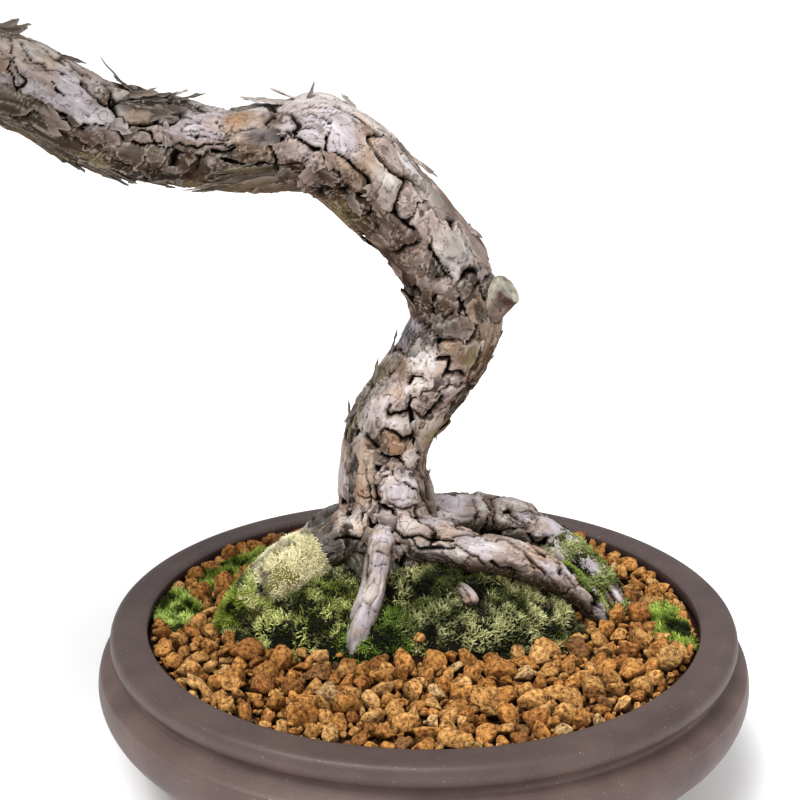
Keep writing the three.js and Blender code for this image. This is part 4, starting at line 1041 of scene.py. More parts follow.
# %% Relief of the listed cracks
def listed_cracks(u, v, seed):
    """How deep the listed cracks are at each place, how dark, and how far the sheet above them is raised."""
    flat = unrolled(u, v, ROUND)
    u = (u + 1.5 * noise(flat, 5.0, seed) + 0.8 * noise(flat, 2.2, seed + 1)
         + 0.4 * noise(flat, 1.2, seed + 4))
    v = (v + 1.5 * noise(flat, 5.0, seed + 2) + 0.8 * noise(flat, 2.2, seed + 3)
         + 0.4 * noise(flat, 1.2, seed + 5))
    uneven = 0.62 + 0.75 * noise(flat, 4.5, seed + 6)
    deep, dark, raised = np.zeros(len(u)), np.zeros(len(u)), np.zeros(len(u))
    for width, depth, path in CRACKS_SEEN:
        path = np.array(path) * [1, math.radians(1) * TRUNK_RADIUS]
        here = np.where((u > path[:, 0].min() - 6) & (u < path[:, 0].max() + 6))[0]
        away, side, reach = np.full(len(here), 99.0), np.zeros(len(here)), np.zeros(len(here))
        for k, (a, b) in enumerate(zip(path[:-1], path[1:])):
            run = b - a
            share = np.clip(((u[here] - a[0]) * run[0] + (v[here] - a[1]) * run[1]) / (run @ run), 0, 1)
            du, dv = u[here] - a[0] - share * run[0], v[here] - a[1] - share * run[1]
            nearer = np.hypot(du, dv) < away
            away = np.where(nearer, np.hypot(du, dv), away)
            side = np.where(nearer, np.sign(run[0] * dv - run[1] * du) * math.copysign(1, run[0]), side)
            reach = np.where(nearer, (k + share) / (len(path) - 1), reach)
        half = (0.5 * width * (0.35 + 0.65 * np.sin(np.pi * np.clip(reach, 0.02, 0.98)) ** 0.5)
                * np.clip(uneven[here], 0.2, 1.4))
        share = smooth_step(half + 0.22, 0.4 * half, away)
        deep[here] = np.maximum(deep[here], depth * share)
        dark[here] = np.maximum(dark[here], share)
        raised[here] = np.maximum(raised[here],
                                  0.55 * np.exp(-((away / 2.2) ** 2)) * (side > 0) * (1 - share))
    return deep, dark, raised


print("widest crack:", max(width for width, _, _ in CRACKS_SEEN), "mm")


# %% Relief and tone of the plates
def bark_on(u, v, around, plates, seed, calm):
    """Height in mm, crack, shading at sheet edges and colour u mm along and v mm round, without strips where
    calm.
    """
    flat = unrolled(u, v, around)
    wide, mid, fine = ([noise(flat, size, seed + 3 * i + k) for k in (1, 2)]
                       for i, size in enumerate((9.0, 3.6, 1.5)))
    u = u + 2.4 * wide[0] + 1.2 * mid[0] + 0.4 * fine[0]
    v = v + 2.0 * wide[1] + 1.2 * mid[1] + 0.4 * fine[1]
    first, second, near, next_near, soft_tone, ridged = nearest_plates(u, v, around, plates)
    size = np.sqrt(plates[:, 2] * plates[:, 3])
    edge = (next_near - near) / (1 / size[first] + 1 / size[second])
    mate = hashed(np.minimum(first, second), np.maximum(first, second), 0, seed + 5)
    level = []
    for plate in (first, second):
        lean = hashed(plate, 1, 0, seed) * 2 * np.pi
        du = (u - plates[plate, 0]) / plates[plate, 2]
        dv = ((v - plates[plate, 1] + around / 2) % around - around / 2) / plates[plate, 3]
        level.append(-0.7 + 0.62 * plates[plate, 4] + 0.4 * (np.cos(lean) * du + np.sin(lean) * dv))
    grown = smooth_step(0.5, 0.4, mate)
    share = 0.5 * grown * smooth_step(3.0, 0.0, edge)
    height = level[0] * (1 - share) + level[1] * share

    peel = edge + 1.3 * noise(flat, 3.0, seed + 20) + 0.7 * noise(flat, 1.3, seed + 21) + 2.5 * grown
    # A dark line under each step of a peeling sheet is painted shadow; a pale line on its upper lip is
    # partly the torn edge's own colour and partly painted highlight.
    sheet_edge_shading = np.zeros(len(u))
    for sheet in range(3):
        reach_in = 0.3 + (0.5 + 1.3 * sheet) * (0.3 + 1.2 * hashed(first, sheet, 1, seed))
        height -= 0.34 * smooth_step(reach_in + 0.12, reach_in - 0.12, peel)
        sheet_edge_shading += (0.9 * np.exp(-(((peel - reach_in + 0.16) / 0.17) ** 2))
                       - 0.8 * np.exp(-(((peel - reach_in - 0.24) / 0.19) ** 2)))

    strips = (2.3 * noise(flat * [0.09, 1, 1], 5.2, seed + 22)
              + 0.4 * noise(flat * [0.22, 1, 1], 2.4, seed + 23))
    step_part = (strips * 1.5) % 1.0
    strip_share = smooth_step(0.3, 0.65, ridged + 0.25 * noise(flat, 8.0, seed + 24)) * (1 - calm)
    height += (strip_share * (0.6 * (smooth_step(0.0, 0.16, step_part) - 0.6 * step_part) - 0.2
                              + 0.35 * np.floor(strips * 1.5)))
    sheet_edge_shading += (strip_share * (0.85 * smooth_step(0.88, 0.97, step_part)
                                  - 0.7 * smooth_step(0.1, 0.2, step_part)
                                  * smooth_step(0.36, 0.22, step_part)))

    deep = smooth_step(0.72, 0.86, mate)
    width = (np.clip(0.08 + 0.14 * mate + 0.42 * deep + 0.34 * noise(flat, 4.5, seed + 8), 0.03, 1)
             * (1 - grown))
    crack = smooth_step(width + 0.02, 0.3 * width, edge) * (1 - grown)
    height -= crack * (0.7 + 1.8 * deep)
    height += 0.1 * noise(flat, 1.3, seed + 29) + 0.2 * noise(flat * [0.4, 1, 1], 3.2, seed + 30)

    own, other = (tone_colours[plates[plate, 5].astype(int)]
                  * (0.86 + 0.26 * hashed(plate, 2, 2, seed))[:, None] for plate in (first, second))
    own = own + share[:, None] * (other - own)
    tint = 0.55 * own + 0.45 * soft_tone
    silver = (smooth_step(-0.1, 0.6, noise(flat, 8.0, seed + 31) + 0.4 * noise(flat, 3.0, seed + 32))
              * (1 - 0.85 * strip_share))
    tint = tint + 0.6 * silver[:, None] * (linear("#D6D0D6") - tint)
    stain = smooth_step(0.0, 0.7, noise(flat, 5.0, seed + 33) + 0.3 * noise(flat, 1.8, seed + 34))
    # Darker round the cracks, in the strips and in stains: the halo round the cracks is partly dirt and
    # partly painted shade.
    dirt_and_crack_shade = ((0.3 + 0.4 * deep) * (1 - grown) * np.exp(-np.clip(edge, 0, None) / 1.3) + 0.1 * strip_share
            + 0.16 * stain)
    return height, crack, np.clip(sheet_edge_shading, -1, 1), tint * (1 - dirt_and_crack_shade[:, None] * [0.9, 1.05, 1.2])


sample = bark_on(np.array([150.0]), np.zeros(1), ROUND, trunk_plates, 31, 0.0)
print("relief at one place of the trunk, mm:", sample[0].round(2))


# %% Bark on each limb
ELBOW_ALONG = 185
height, crack, sheet_edge_shading = (np.zeros(len(wood)) for _ in range(3))
tint, straight = np.zeros((len(wood), 3)), np.zeros((len(wood), 3))
for k, limb in enumerate(limbs):
    mine = owner == k
    table, around, shift = (trunk_plates, ROUND, 0.0) if k == 0 else (root_plates, ROUND_A_ROOT, 7.0 * k)
    turn_mm = np.radians(wood_degrees[mine]) * around / (2 * np.pi)
    straight[mine] = unrolled(wood_along[mine] + shift, turn_mm, around)
    at_elbow = np.exp(-(((wood_along[mine] - ELBOW_ALONG) / 12) ** 4))
    at_elbow = at_elbow * (wood_degrees[mine] > 0) * (k == 0)
    found = bark_on(wood_along[mine] + shift, turn_mm, around, table, 31 + 40 * k, at_elbow)
    height[mine], crack[mine], sheet_edge_shading[mine], tint[mine] = found
    if k == 0:
        deep, dark, raised = listed_cracks(wood_along[mine], turn_mm, 91)
        height[mine] += raised - deep
        crack[mine] = np.maximum(crack[mine], dark)
        # The raised sheet beside a listed crack gets a pale line, partly the torn edge's own colour and
        # partly painted highlight.
        sheet_edge_shading[mine] = np.where(raised > 0.2, np.minimum(sheet_edge_shading[mine], -1.6 * (raised - 0.2)),
                                    sheet_edge_shading[mine])
straight[owner == len(limbs) - 1] = wood[owner == len(limbs) - 1]
print("relief from", height.min().round(1), "to", height.max().round(1), "mm")

# %% [markdown]
# ### What is thinner and smoother
# Bark thins towards the crown and on the roots, and the cut stub has long healed to a greenish
# skin. Where limbs meet, their reliefs would jump, so both fade there to a common level.

# %% Fading the relief
closest_two = np.sort(np.stack([seat[2] for seat in seats]), axis=0)[:2]
between = smooth_step(0.0, 3.0, closest_two[1] - closest_two[0])
own_radius = np.choose(owner, [np.interp(seat[0], limb.along, limb.radius)
                               for seat, limb in zip(seats, limbs)])
limb_strength = np.array([1.0, 0.16, 0.75, 1.0, 0.7, 0.7, 0.7, 0.25, 0.1])
strength = np.where(owner == 0, np.clip(own_radius / 13, 0.3, 1.0), limb_strength[owner])
crack = crack * np.choose(owner, [1.0, 0.25, 0.8, 0.9, 0.6, 0.9, 0.9, 0.4, 0.0])
sheet_edge_shading = sheet_edge_shading * np.choose(owner, [1.0, 0.35, 0.9, 1.0, 1.0, 1.0, 1.0, 0.4, 0.2])
strength *= 0.35 + 0.65 * between
lumps = 0.9 * noise(wood, 19.0, 61) + 0.5 * noise(wood, 8.0, 62)
wood_out = outward(wood, wood_faces)
print("full relief on", int((strength > 0.9).sum()), "points")


# %% Seams at the flare
def seam_cuts(points, outs, seams):
    """How deep and how dark the listed seams are at each point, seen square to the surface, and how darkened
    round them, as stain and, beside the front root, as painted shadow.
    """
    wander = np.stack([noise(points, 4.0, 110 + k) + 0.5 * noise(points, 1.7, 113 + k) for k in range(3)],
                      axis=1)
    uneven = np.clip(0.85 + 0.7 * noise(points, 4.5, 117), 0.4, 1.5)
    bent = points + 0.9 * wander
    deep, dark, stain_and_shadow = (np.zeros(len(points)) for _ in range(3))
    for width, depth, path in seams:
        path = np.array(path, float)
        here = np.where(((bent > path.min(0) - 5) & (bent < path.max(0) + 5)).all(axis=1))[0]
        away = np.full(len(here), 99.0)
        for a, b in zip(path[:-1], path[1:]):
            gap = bent[here] - a
            gap = gap - np.clip(gap @ (b - a) / ((b - a) @ (b - a)), 0, 1)[:, None] * (b - a)
            off = (gap * outs[here]).sum(axis=1)
            flat_gap = np.linalg.norm(gap - off[:, None] * outs[here], axis=1)
            away = np.minimum(away, np.where(np.abs(off) < 5, flat_gap, 99.0))
        half = 0.34 * width * uneven[here]
        share = smooth_step(half + 0.22, 0.3 * half, away)
        deep[here] = np.maximum(deep[here], depth * share)
        dark[here] = np.maximum(dark[here], min(1.0, 0.3 + 0.5 * width) * share)
        stain_and_shadow[here] = np.maximum(stain_and_shadow[here],
                                   min(1.0, 0.6 * width) * np.exp(-((away / (1.0 + width)) ** 2)))
    return deep, dark, stain_and_shadow


seam_deep, seam_dark, seam_stain_and_shadow = seam_cuts(wood, wood_out, SEAMS_SEEN)
crack = np.maximum(crack, seam_dark)
for middle, radius, tone in PATCHES_SEEN:
    away = (np.linalg.norm(wood - middle, axis=1) / radius + 0.35 * noise(wood, 4.0, 119)
            + 0.15 * noise(wood, 1.6, 120))
    share = (0.75 * smooth_step(1.1, 0.7, away))[:, None]
    tint = tint + share * (linear(TONES[tone]) * 1.06 - tint)
# Darkened round the seams: stain, and painted shadow at the two seams beside the front root.
tint = tint * (1 - seam_stain_and_shadow[:, None] * [0.45, 0.52, 0.6])
print("points in seams:", int((seam_dark > 0.5).sum()))

# %% Raising the relief
wood = (wood + wood_out * (strength * height - seam_deep
                           + 0.6 * lumps * np.clip(own_radius / 13, 0.3, 1))[:, None])
print("wood box:", wood.min(0).round(1), wood.max(0).round(1))

# %% [markdown]
# ### Finish of the bark
# Cork bark is dead, dry and porous: no shine, with a faint silky sheen on the weathered tops. The
# mesh brings each plate's tone, the cracks and the sheet edges. The finish adds what is finer: pale
# silver patches of 5 to 8 mm where the top sheet has bleached, brown speckle of about 1 mm, and
# thin torn sheets, whose edges are the steps of a noise cut into levels. Its patterns run along
# the limb, because the mesh also brings each point's place on the limb as if that were straight.

# %% The bark's finish
bark = new_finish("weathered_pine_bark", {"Roughness": 0.82, "Specular IOR Level": 0.3})
add_node(bark, "place", "Attribute", {"attribute_name": "straight_place"})
add_node(bark, "tint", "Attribute", {"attribute_name": "plate_tint"})
add_node(bark, "crack", "Attribute", {"attribute_name": "crack"})
add_node(bark, "sheet", "Attribute", {"attribute_name": "sheet_edge_shading"})
add_node(bark, "along", "Mapping", {"Scale": (0.4, 1.0, 1.0)}, {"Vector": "place.Vector"})
add_node(bark, "speckle", "TexNoise", {"Scale": 1 / 2.4, "Detail": 5.0, "Roughness": 0.62},
         {"Vector": "along.Vector"})
add_node(bark, "tone_factor", "ValToRGB", {"stops": [(0.28, "#97877B"), (0.66, "#FFFFFF")]},
         {"Fac": "speckle.Fac"})
add_node(bark, "brown", "Mix", {"data_type": "RGBA", "blend_type": "MULTIPLY", 0: 0.7},
         {6: "tint.Color", 7: "tone_factor.Color"})
add_node(bark, "hair", "TexNoise", {"Scale": 1 / 10.0, "Detail": 2.0, "Roughness": 0.5},
         {"Vector": "place.Vector"})
add_node(bark, "hair_off", "Math", {"operation": "SUBTRACT", 1: 0.5}, {0: "hair.Fac"})
add_node(bark, "hair_gap", "Math", {"operation": "ABSOLUTE"}, {0: "hair_off.Value"})
add_node(bark, "hair_line", "MapRange", {"From Min": 0.008, "From Max": 0.002, "To Max": 0.65},
         {"Value": "hair_gap.Value"})
add_node(bark, "torn", "TexNoise", {"Scale": 1 / 7.0, "Detail": 4.0, "Roughness": 0.55,
                                    "Distortion": 0.3}, {"Vector": "along.Vector"})
add_node(bark, "levels", "Math", {"operation": "MULTIPLY", 1: 9.0}, {0: "torn.Fac"})
add_node(bark, "level", "Math", {"operation": "FLOOR"}, {0: "levels.Value"})
add_node(bark, "rest", "Math", {"operation": "FRACT"}, {0: "levels.Value"})
add_node(bark, "line", "MapRange", {"From Min": 0.14, "From Max": 0.0, "To Max": 0.7},
         {"Value": "rest.Value"})
add_node(bark, "where", "TexNoise", {"Scale": 1 / 8.0, "Detail": 3.0}, {"Vector": "along.Vector"})
add_node(bark, "hair_share", "MapRange", {"From Min": 0.58, "From Max": 0.48}, {"Value": "where.Fac"})
add_node(bark, "hairs", "Math", {"operation": "MULTIPLY"}, {0: "hair_line.Result", 1: "hair_share.Result"})
add_node(bark, "cracked", "Mix", {"data_type": "RGBA", 7: rgba("#1C1511")}, {0: "hairs.Value", 6: "brown.2"})
add_node(bark, "where_share", "MapRange", {"From Min": 0.47, "From Max": 0.57}, {"Value": "where.Fac"})
add_node(bark, "lines", "Math", {"operation": "MULTIPLY"}, {0: "line.Result", 1: "where_share.Result"})
add_node(bark, "lined", "Mix", {"data_type": "RGBA", 7: rgba("#33281F")}, {0: "lines.Value", 6: "cracked.2"})
# Below zero the sheet attribute makes a pale line, partly the torn edge's own colour and partly painted
# highlight; above zero a dark line of painted shadow under a step.
add_node(bark, "pale_edge", "MapRange", {"From Min": 0.0, "From Max": -0.8, "To Max": 0.34},
         {"Value": "sheet.Fac"})
add_node(bark, "rimmed", "Mix", {"data_type": "RGBA", 7: rgba("#CFC3B8")},
         {0: "pale_edge.Result", 6: "lined.2"})
add_node(bark, "dark_edge", "MapRange", {"From Min": 0.1, "From Max": 0.9, "To Max": 0.8},
         {"Value": "sheet.Fac"})
add_node(bark, "stepped", "Mix", {"data_type": "RGBA", 7: rgba("#2A211B")},
         {0: "dark_edge.Result", 6: "rimmed.2"})
add_node(bark, "gap", "MapRange", {"From Min": 0.15, "From Max": 0.75}, {"Value": "crack.Fac"})
add_node(bark, "dark", "Mix", {"data_type": "RGBA", 7: rgba("#120D0A")}, {0: "gap.Result", 6: "stepped.2"})
add_node(bark, "relief", "Math", {"operation": "MULTIPLY_ADD", 1: 0.25},
         {0: "level.Value", 2: "speckle.Fac"})
add_node(bark, "bump", "Bump", {"Strength": 0.8, "Distance": 0.45 * MM}, {"Height": "relief.Value"})
connect(bark, "shader", {"Base Color": "dark.2", "Normal": "bump.Normal"})
print("bark:", len(bark.node_tree.nodes), "nodes")

# %% [markdown]
# ### Colour by place
# The tops of the limbs are bleached by sun and rain, and their undersides stay brown and gather
# olive algae. Peeled spots are tan to orange. The same noise that would be hard to paint by hand
# places them here. The undersides and the trunk's foot are also painted darker as shade, and the
# low trunk lighter as painted light.

# %% Colouring the wood
WOOD_KEEP = 0.62
# Dark layered spots on the trunk: mm along it, degrees round it, half lengths of each, how dark
SHADES_SEEN = [(236, 78, 11, 32, 0.5), (243, -66, 30, 14, 0.5), (206, -20, 14, 8, 0.35),
               (131, 40, 7, 30, 0.3), (96, -74, 9, 16, 0.7), (64, -66, 18, 14, 0.35),
               (269, 20, 10, 24, 0.16), (268, -28, 12, 26, 0.35)]
facing_up = wood_out[:, 2]
grey = tint.mean(axis=1)[:, None] * [1.0, 0.985, 0.99]
tint = 0.94 * (grey + 0.8 * (tint - grey))
# Undersides painted browner and darker: partly their own brown bark and partly painted shade.
brown_and_painted_shade_below = smooth_step(0.15, -0.6, facing_up + 0.25 * noise(wood, 9.0, 63))[:, None]
tint = tint * (1 - brown_and_painted_shade_below) + brown_and_painted_shade_below * tint * linear("#9C8269") / linear("#F4F0EC")
algae = smooth_step(0.25, 0.7, noise(wood, 13.0, 64) - 0.9 * facing_up - 0.35)[:, None]
tint = tint * (1 - 0.45 * algae) + 0.45 * algae * linear("#7A7147")
peeled = (smooth_step(0.42, 0.62, noise(wood, 9.0, 65) + 0.25 * noise(wood, 3.0, 66))[:, None]
          * (1 - brown_and_painted_shade_below))
tint = tint * (1 - 0.4 * peeled) + 0.4 * peeled * linear("#B8987A")
# Darker and olive near the soil, on the undersides and at the trunk's foot between the roots: damp bark near
# the soil, painted shade on the undersides, and at the foot partly dirt and partly painted shadow.
over_soil = wood[:, 2] - soil_height(wood[:, 0], wood[:, 1])
near_soil = smooth_step(9.0, 0.0, over_soil + 3.0 * noise(wood, 6.0, 67)) * (wood[:, 2] < 92)
underneath = smooth_step(0.2, -0.35, facing_up) * (wood[:, 2] < 92)
front_root = owner == 1
foot_line = np.interp(wood[:, 0], [-34, -26, -18, -14], [92.0, 88.0, 85.5, 82.0])
foot = smooth_step(0.5, -2.5, wood[:, 2] - foot_line + 1.5 * noise(wood, 5.0, 68))
foot *= (wood[:, 0] > -42) * (wood[:, 0] < 11) * ~front_root
damp_and_painted_shade = (np.clip(near_soil + 0.85 * underneath + 0.9 * foot, 0, 1) * np.where(front_root, 0.5, 1.0))[:, None]
tint = tint * (1 - 0.8 * damp_and_painted_shade) + 0.8 * damp_and_painted_shade * linear("#2E2C1D")
rooted = ((owner > 0) & (owner < len(limbs) - 1))[:, None]
tint = tint * np.where(rooted, 1.06, 1.0)
# Brightness along the trunk: the low trunk, which faces down and gets less light, is painted lighter as
# painted light; further up it is darker or lighter by place, and the listed spots darker still.
tone_and_painted_light_along_trunk = np.interp(wood_along, [90, 104, 115, 126, 138, 150, 178, 195],
                      [1.28, 1.0, 0.82, 0.84, 0.95, 1.06, 0.95, 0.88])
for along, degrees, half_along, half_degrees, how_dark in SHADES_SEEN:
    off = ((wood_along - along) / half_along) ** 2 + ((wood_degrees - degrees) / half_degrees) ** 2
    tone_and_painted_light_along_trunk = tone_and_painted_light_along_trunk * (1 - how_dark * np.exp(-(off**1.5)))
tint = tint * np.where(owner == 0, tone_and_painted_light_along_trunk, 1.0)[:, None]
mottle = noise(wood, 2.2, 69) + 0.6 * noise(wood, 0.9, 70)
# The stub's skin is painted lighter where it faces up, as painted light, and darker at its cut end where the
# surface faces down, as painted shade.
lit = smooth_step(-0.15, 0.35, facing_up + 0.25 * mottle)[:, None]
skin = linear("#7E6E63") + lit * (linear("#9E9A8E") - linear("#7E6E63"))
skin = skin + 0.15 * lit * smooth_step(0.0, 0.5, noise(wood, 1.8, 73))[:, None] * (linear("#6F7B4A") - skin)
hollow = smooth_step(4.0, 2.0, limbs[-1].length - wood_along) * smooth_step(0.3, 0.0, facing_up)
skin = (skin * (1 + 0.4 * mottle[:, None])) * (1 - 0.7 * hollow[:, None] * [0.8, 1.0, 1.05])
stub_skin = (owner == len(limbs) - 1)[:, None] * smooth_step(3.0, 8.0, wood_along + 2 * mottle)[:, None]
tint = tint * (1 - stub_skin) + stub_skin * skin
print("mean tint of the wood:", tint.mean(axis=0).round(3))

# %% [markdown]
# ### Fewer triangles where the bark is flat
# Blender's decimate modifier folds the edges that matter least and carries the colours along, so
# the tops of the plates get large triangles and the cracks keep theirs. The mesh is then cut into
# lengths, so that no piece grows too heavy, with shared normals along the cuts.

# %% Thinning, cutting and adding the wood
wood_attributes = {"plate_tint": tint, "crack": crack, "sheet_edge_shading": sheet_edge_shading, "straight_place": straight,
                   "along_limb": wood_along, "limb_number": owner.astype(float)}
wood, wood_faces, wood_attributes = modified(wood, [wood_faces], "DECIMATE", {"ratio": WOOD_KEEP},
                                             wood_attributes)
finished_normals = outward(wood, wood_faces)
face_along = wood_attributes.pop("along_limb")[wood_faces].mean(axis=1)
face_along[wood_attributes.pop("limb_number")[wood_faces].max(axis=1) > 0.5] = -1
for band, (low, high) in enumerate([(-5, 0), (0, 105), (105, 225), (225, 1000)]):
    chosen = wood_faces[(face_along >= low) & (face_along < high)]
    used, chosen = np.unique(chosen, return_inverse=True)
    name = ["root_flare", "lower_trunk", "leaning_trunk", "level_trunk"][band]
    mesh = make_mesh(name, wood[used], [chosen.reshape(-1, 3)],
                     {key: values[used] for key, values in wood_attributes.items()})
    mesh.normals_split_custom_set_from_vertices(finished_normals[used])
    add_piece(name, mesh, bark, ["trunk"] if band == 0 else ())
    print(name, triangle_count[name], "triangles")

# %% [markdown]
# ## Branches and twigs of the crown
# The crown is grown in pads: each branch leaves the trunk, dips a little, and fans out in twigs
# that turn up at their ends. Young pine bark is finer than that of the trunk, a skin of small
# scales left where old needles fell off. Round tubes with scales as relief are enough here.

# %% Plan of the pads
# name, where the branch leaves the trunk, middle and half widths of the pad
PADS = [("left", [-164, -29, 261], [-258, -52, 283], [40, 33]),
        ("front", [-184, -23, 281], [-168, -88, 300], [36, 28]),
        ("back", [-176, -27, 272], [-176, 62, 292], [40, 30]),
        ("upper_left", [-195, -14, 300], [-262, 26, 322], [36, 31]),
        ("upper_right", [-199, -6, 313], [-136, -22, 334], [36, 32]),
        ("top", [-196, 10, 346], [-182, 16, 372], [44, 40])]
GOLDEN_ANGLE = math.pi * (3 - math.sqrt(5))
TWIGS_A_PAD = 6


def pad_limbs(number, root, middle, half):
    """The branch of a pad and its twigs, as the solids have them."""
    start, middle = np.array(root, float), np.array(middle, float)
    end = middle - [0, 0, 12]
    branch = np.column_stack([[start, (start + end) / 2 - [0, 0, 3], end], [5.4, 4.4, 3.4]])
    from_here = start + 0.4 * (end - start)
    twigs = []
    for i in range(TWIGS_A_PAD):
        out, angle = math.sqrt((i + 0.25) / TWIGS_A_PAD), i * GOLDEN_ANGLE + number * 1.3
        x, y = middle[0] + half[0] * out * math.cos(angle), middle[1] + half[1] * out * math.sin(angle)
        base = np.array([x, y, middle[2] + 12 * (1 - out * out) - 4])
        reach = end - from_here
        beside = np.clip((base - from_here) @ reach / (reach @ reach) - 0.25, 0, 1)
        leaves = from_here + beside * reach
        knee = leaves + 0.7 * (np.array([x, y, end[2] + 2]) - leaves)
        twigs.append(Limb(np.column_stack([[leaves, knee, base], [2.6, 2.15, 1.7]])))
    return Limb(branch), twigs


crown = {name: pad_limbs(number, *plan) for number, (name, *plan) in enumerate(PADS)}
print("pads:", {name: round(branch.length) for name, (branch, twigs) in crown.items()})

# %% Scaly branches
for number, (name, (branch, twigs)) in enumerate(crown.items()):
    tubes = [branch.tube(1.5, 14), *(twig.tube(1.7, 8) for twig in twigs)]
    outs = []
    for limb, (points, _) in zip([branch, *twigs], tubes):
        along, _, _ = nearest_on(limb, points)
        middle = np.stack([np.interp(along, limb.along, limb.at[:, k]) for k in range(3)], axis=1)
        way = points - middle
        outs.append(way / np.maximum(np.linalg.norm(way, axis=1), 0.3)[:, None])
    points, groups = joined_shells(tubes)
    scales = noise(points, 2.6, 71 + number) + 0.5 * noise(points, 1.3, 81)
    scale_height = 0.38 * np.clip(scales, -1, 0.5) + 0.25 * noise(points, 7.0, 91)
    points = points + np.vstack(outs) * scale_height[:, None]
    shade = 0.8 + 0.35 * hashed(*(np.floor(points / 2.4).T), 5)
    tones = linear("#8B7A6B") * shade[:, None]
    # The low places between the scales are painted darker, partly their own dark joints and partly painted
    # shade.
    mesh = make_mesh(f"scaly_{name}", points, groups,
                     {"plate_tint": tones, "straight_place": points,
                      "crack": smooth_step(-0.35, -0.75, scales),
                      "sheet_edge_shading": smooth_step(0.0, -0.4, scales) * 0.6})
    add_piece(f"branch_{name}_fine", mesh, bark, [f"branch_{name}"])
print("branches:", {name: triangle_count[f"branch_{name}_fine"] for name in crown})

# %% [markdown]
# ## Needle sprays
# A black pine carries stiff dark needles in pairs, 30 mm long on a tree kept this small, all
# round the end of each shoot like a bottle brush, and a silvery white bud on its tip. Needles low
# on the shoot lean out most, and the top ones nearly follow it. Each needle here is a real thin
# solid with three sides and a bend. Real shoots carry about twice as many.
#
# A needle is kept short or bent up where it would run into wood or into a neighbour's half of the
# air between two shoots, as a gardener wires them apart.

# %% Room for the needles
NEEDLE_LENGTH = 31.0
SHOOT_LENGTH = 15.0
PAIRS_A_SHOOT = 70
NEEDLE_RADIUS = 0.5
shoots = []
for name, (branch, twigs) in crown.items():
    for i, twig in enumerate(twigs):
        shoots.append({"name": f"spray_{name}_{i + 1}", "base": twig.at[-1], "axis": twig.tangent[-1]})
shoot_middles = np.array([shoot["base"] + SHOOT_LENGTH * shoot["axis"] for shoot in shoots])
wood_near = np.vstack([np.column_stack([limb.at[::3], limb.radius[::3]])
                       for branch, twigs in crown.values() for limb in (branch, *twigs)]
                      + [np.column_stack([trunk.at[220:], trunk.radius[220:] + 2])])


def free_lengths(number, feet, ways):
    """How far needles may grow from these feet along these ways."""
    free = np.full(len(feet), NEEDLE_LENGTH)
    apart = np.delete(shoot_middles, number, axis=0) - shoot_middles[number]
    gaps = np.linalg.norm(apart, axis=1)
    apart, gaps = apart[gaps < 4 * NEEDLE_LENGTH], gaps[gaps < 4 * NEEDLE_LENGTH]
    aim = apart / gaps[:, None]
    halfway = shoot_middles[number] + apart / 2
    room = (halfway[None] * aim[None]).sum(2) - feet @ aim.T - 0.8
    towards = ways @ aim.T
    free = np.minimum(free, np.where(towards > 1e-3, room / np.maximum(towards, 1e-3), 1e9).min(axis=1))
    to_wood = wood_near[None, :, :3] - feet[:, None, :]
    along = np.clip((to_wood * ways[:, None, :]).sum(2), 0, free[:, None])
    miss = np.linalg.norm(to_wood - ways[:, None, :] * along[:, :, None], axis=2)
    blocked = (miss < wood_near[None, :, 3] + 1.5) & (along > 6)
    free = np.minimum(free, np.where(blocked, along - 4, 1e9).min(axis=1))
    for low_or_high in (box_low + 0.6, box_high - 0.6):
        reach = np.where(np.abs(ways) > 1e-6,
                         (low_or_high - feet) / np.where(np.abs(ways) > 1e-6, ways, 1), 1e9)
        free = np.minimum(free, np.where(reach > 0, reach, 1e9).min(axis=1))
    return free


print("shoots:", len(shoots))


# %% Growing the needles
def needle_solids(feet, ways, lengths, bends, thick):
    """Three-sided needles: a ring at the foot, one at the bend, and a tip."""
    across = unit(np.cross(ways, [0.31, 0.52, 0.79]))
    other = np.cross(ways, across)
    rings = []
    for share, size in ((0.0, 1.0), (0.55, 0.95)):
        middle = feet + ways * (lengths * share)[:, None] + bends * (4 * share * (1 - share) - share * 0.5)
        for k in range(3):
            angle = 2 * math.pi * k / 3
            rings.append(middle + size * thick * (across * math.cos(angle) + other * math.sin(angle)))
    rings.append(feet + ways * lengths[:, None] - 0.5 * bends)
    points = np.stack(rings, axis=1).reshape(-1, 3)
    walls = [[0, 1, 4], [0, 4, 3], [1, 2, 5], [1, 5, 4], [2, 0, 3], [2, 3, 5]]
    tip = [[3, 4, 6], [4, 5, 6], [5, 3, 6]]
    return points, repeated(walls + tip, len(feet), 7)


def straight_limb(base, axis, ends, radii):
    return Limb(np.column_stack([base + np.outer(ends, axis), radii]), 4)


needle_green = new_finish("waxy_pine_needle", {"Roughness": 0.42, "IOR": 1.45, "Specular IOR Level": 0.4})
add_node(needle_green, "tone", "Attribute", {"attribute_name": "needle_tone"})
connect(needle_green, "shader", {"Base Color": "tone.Color"})

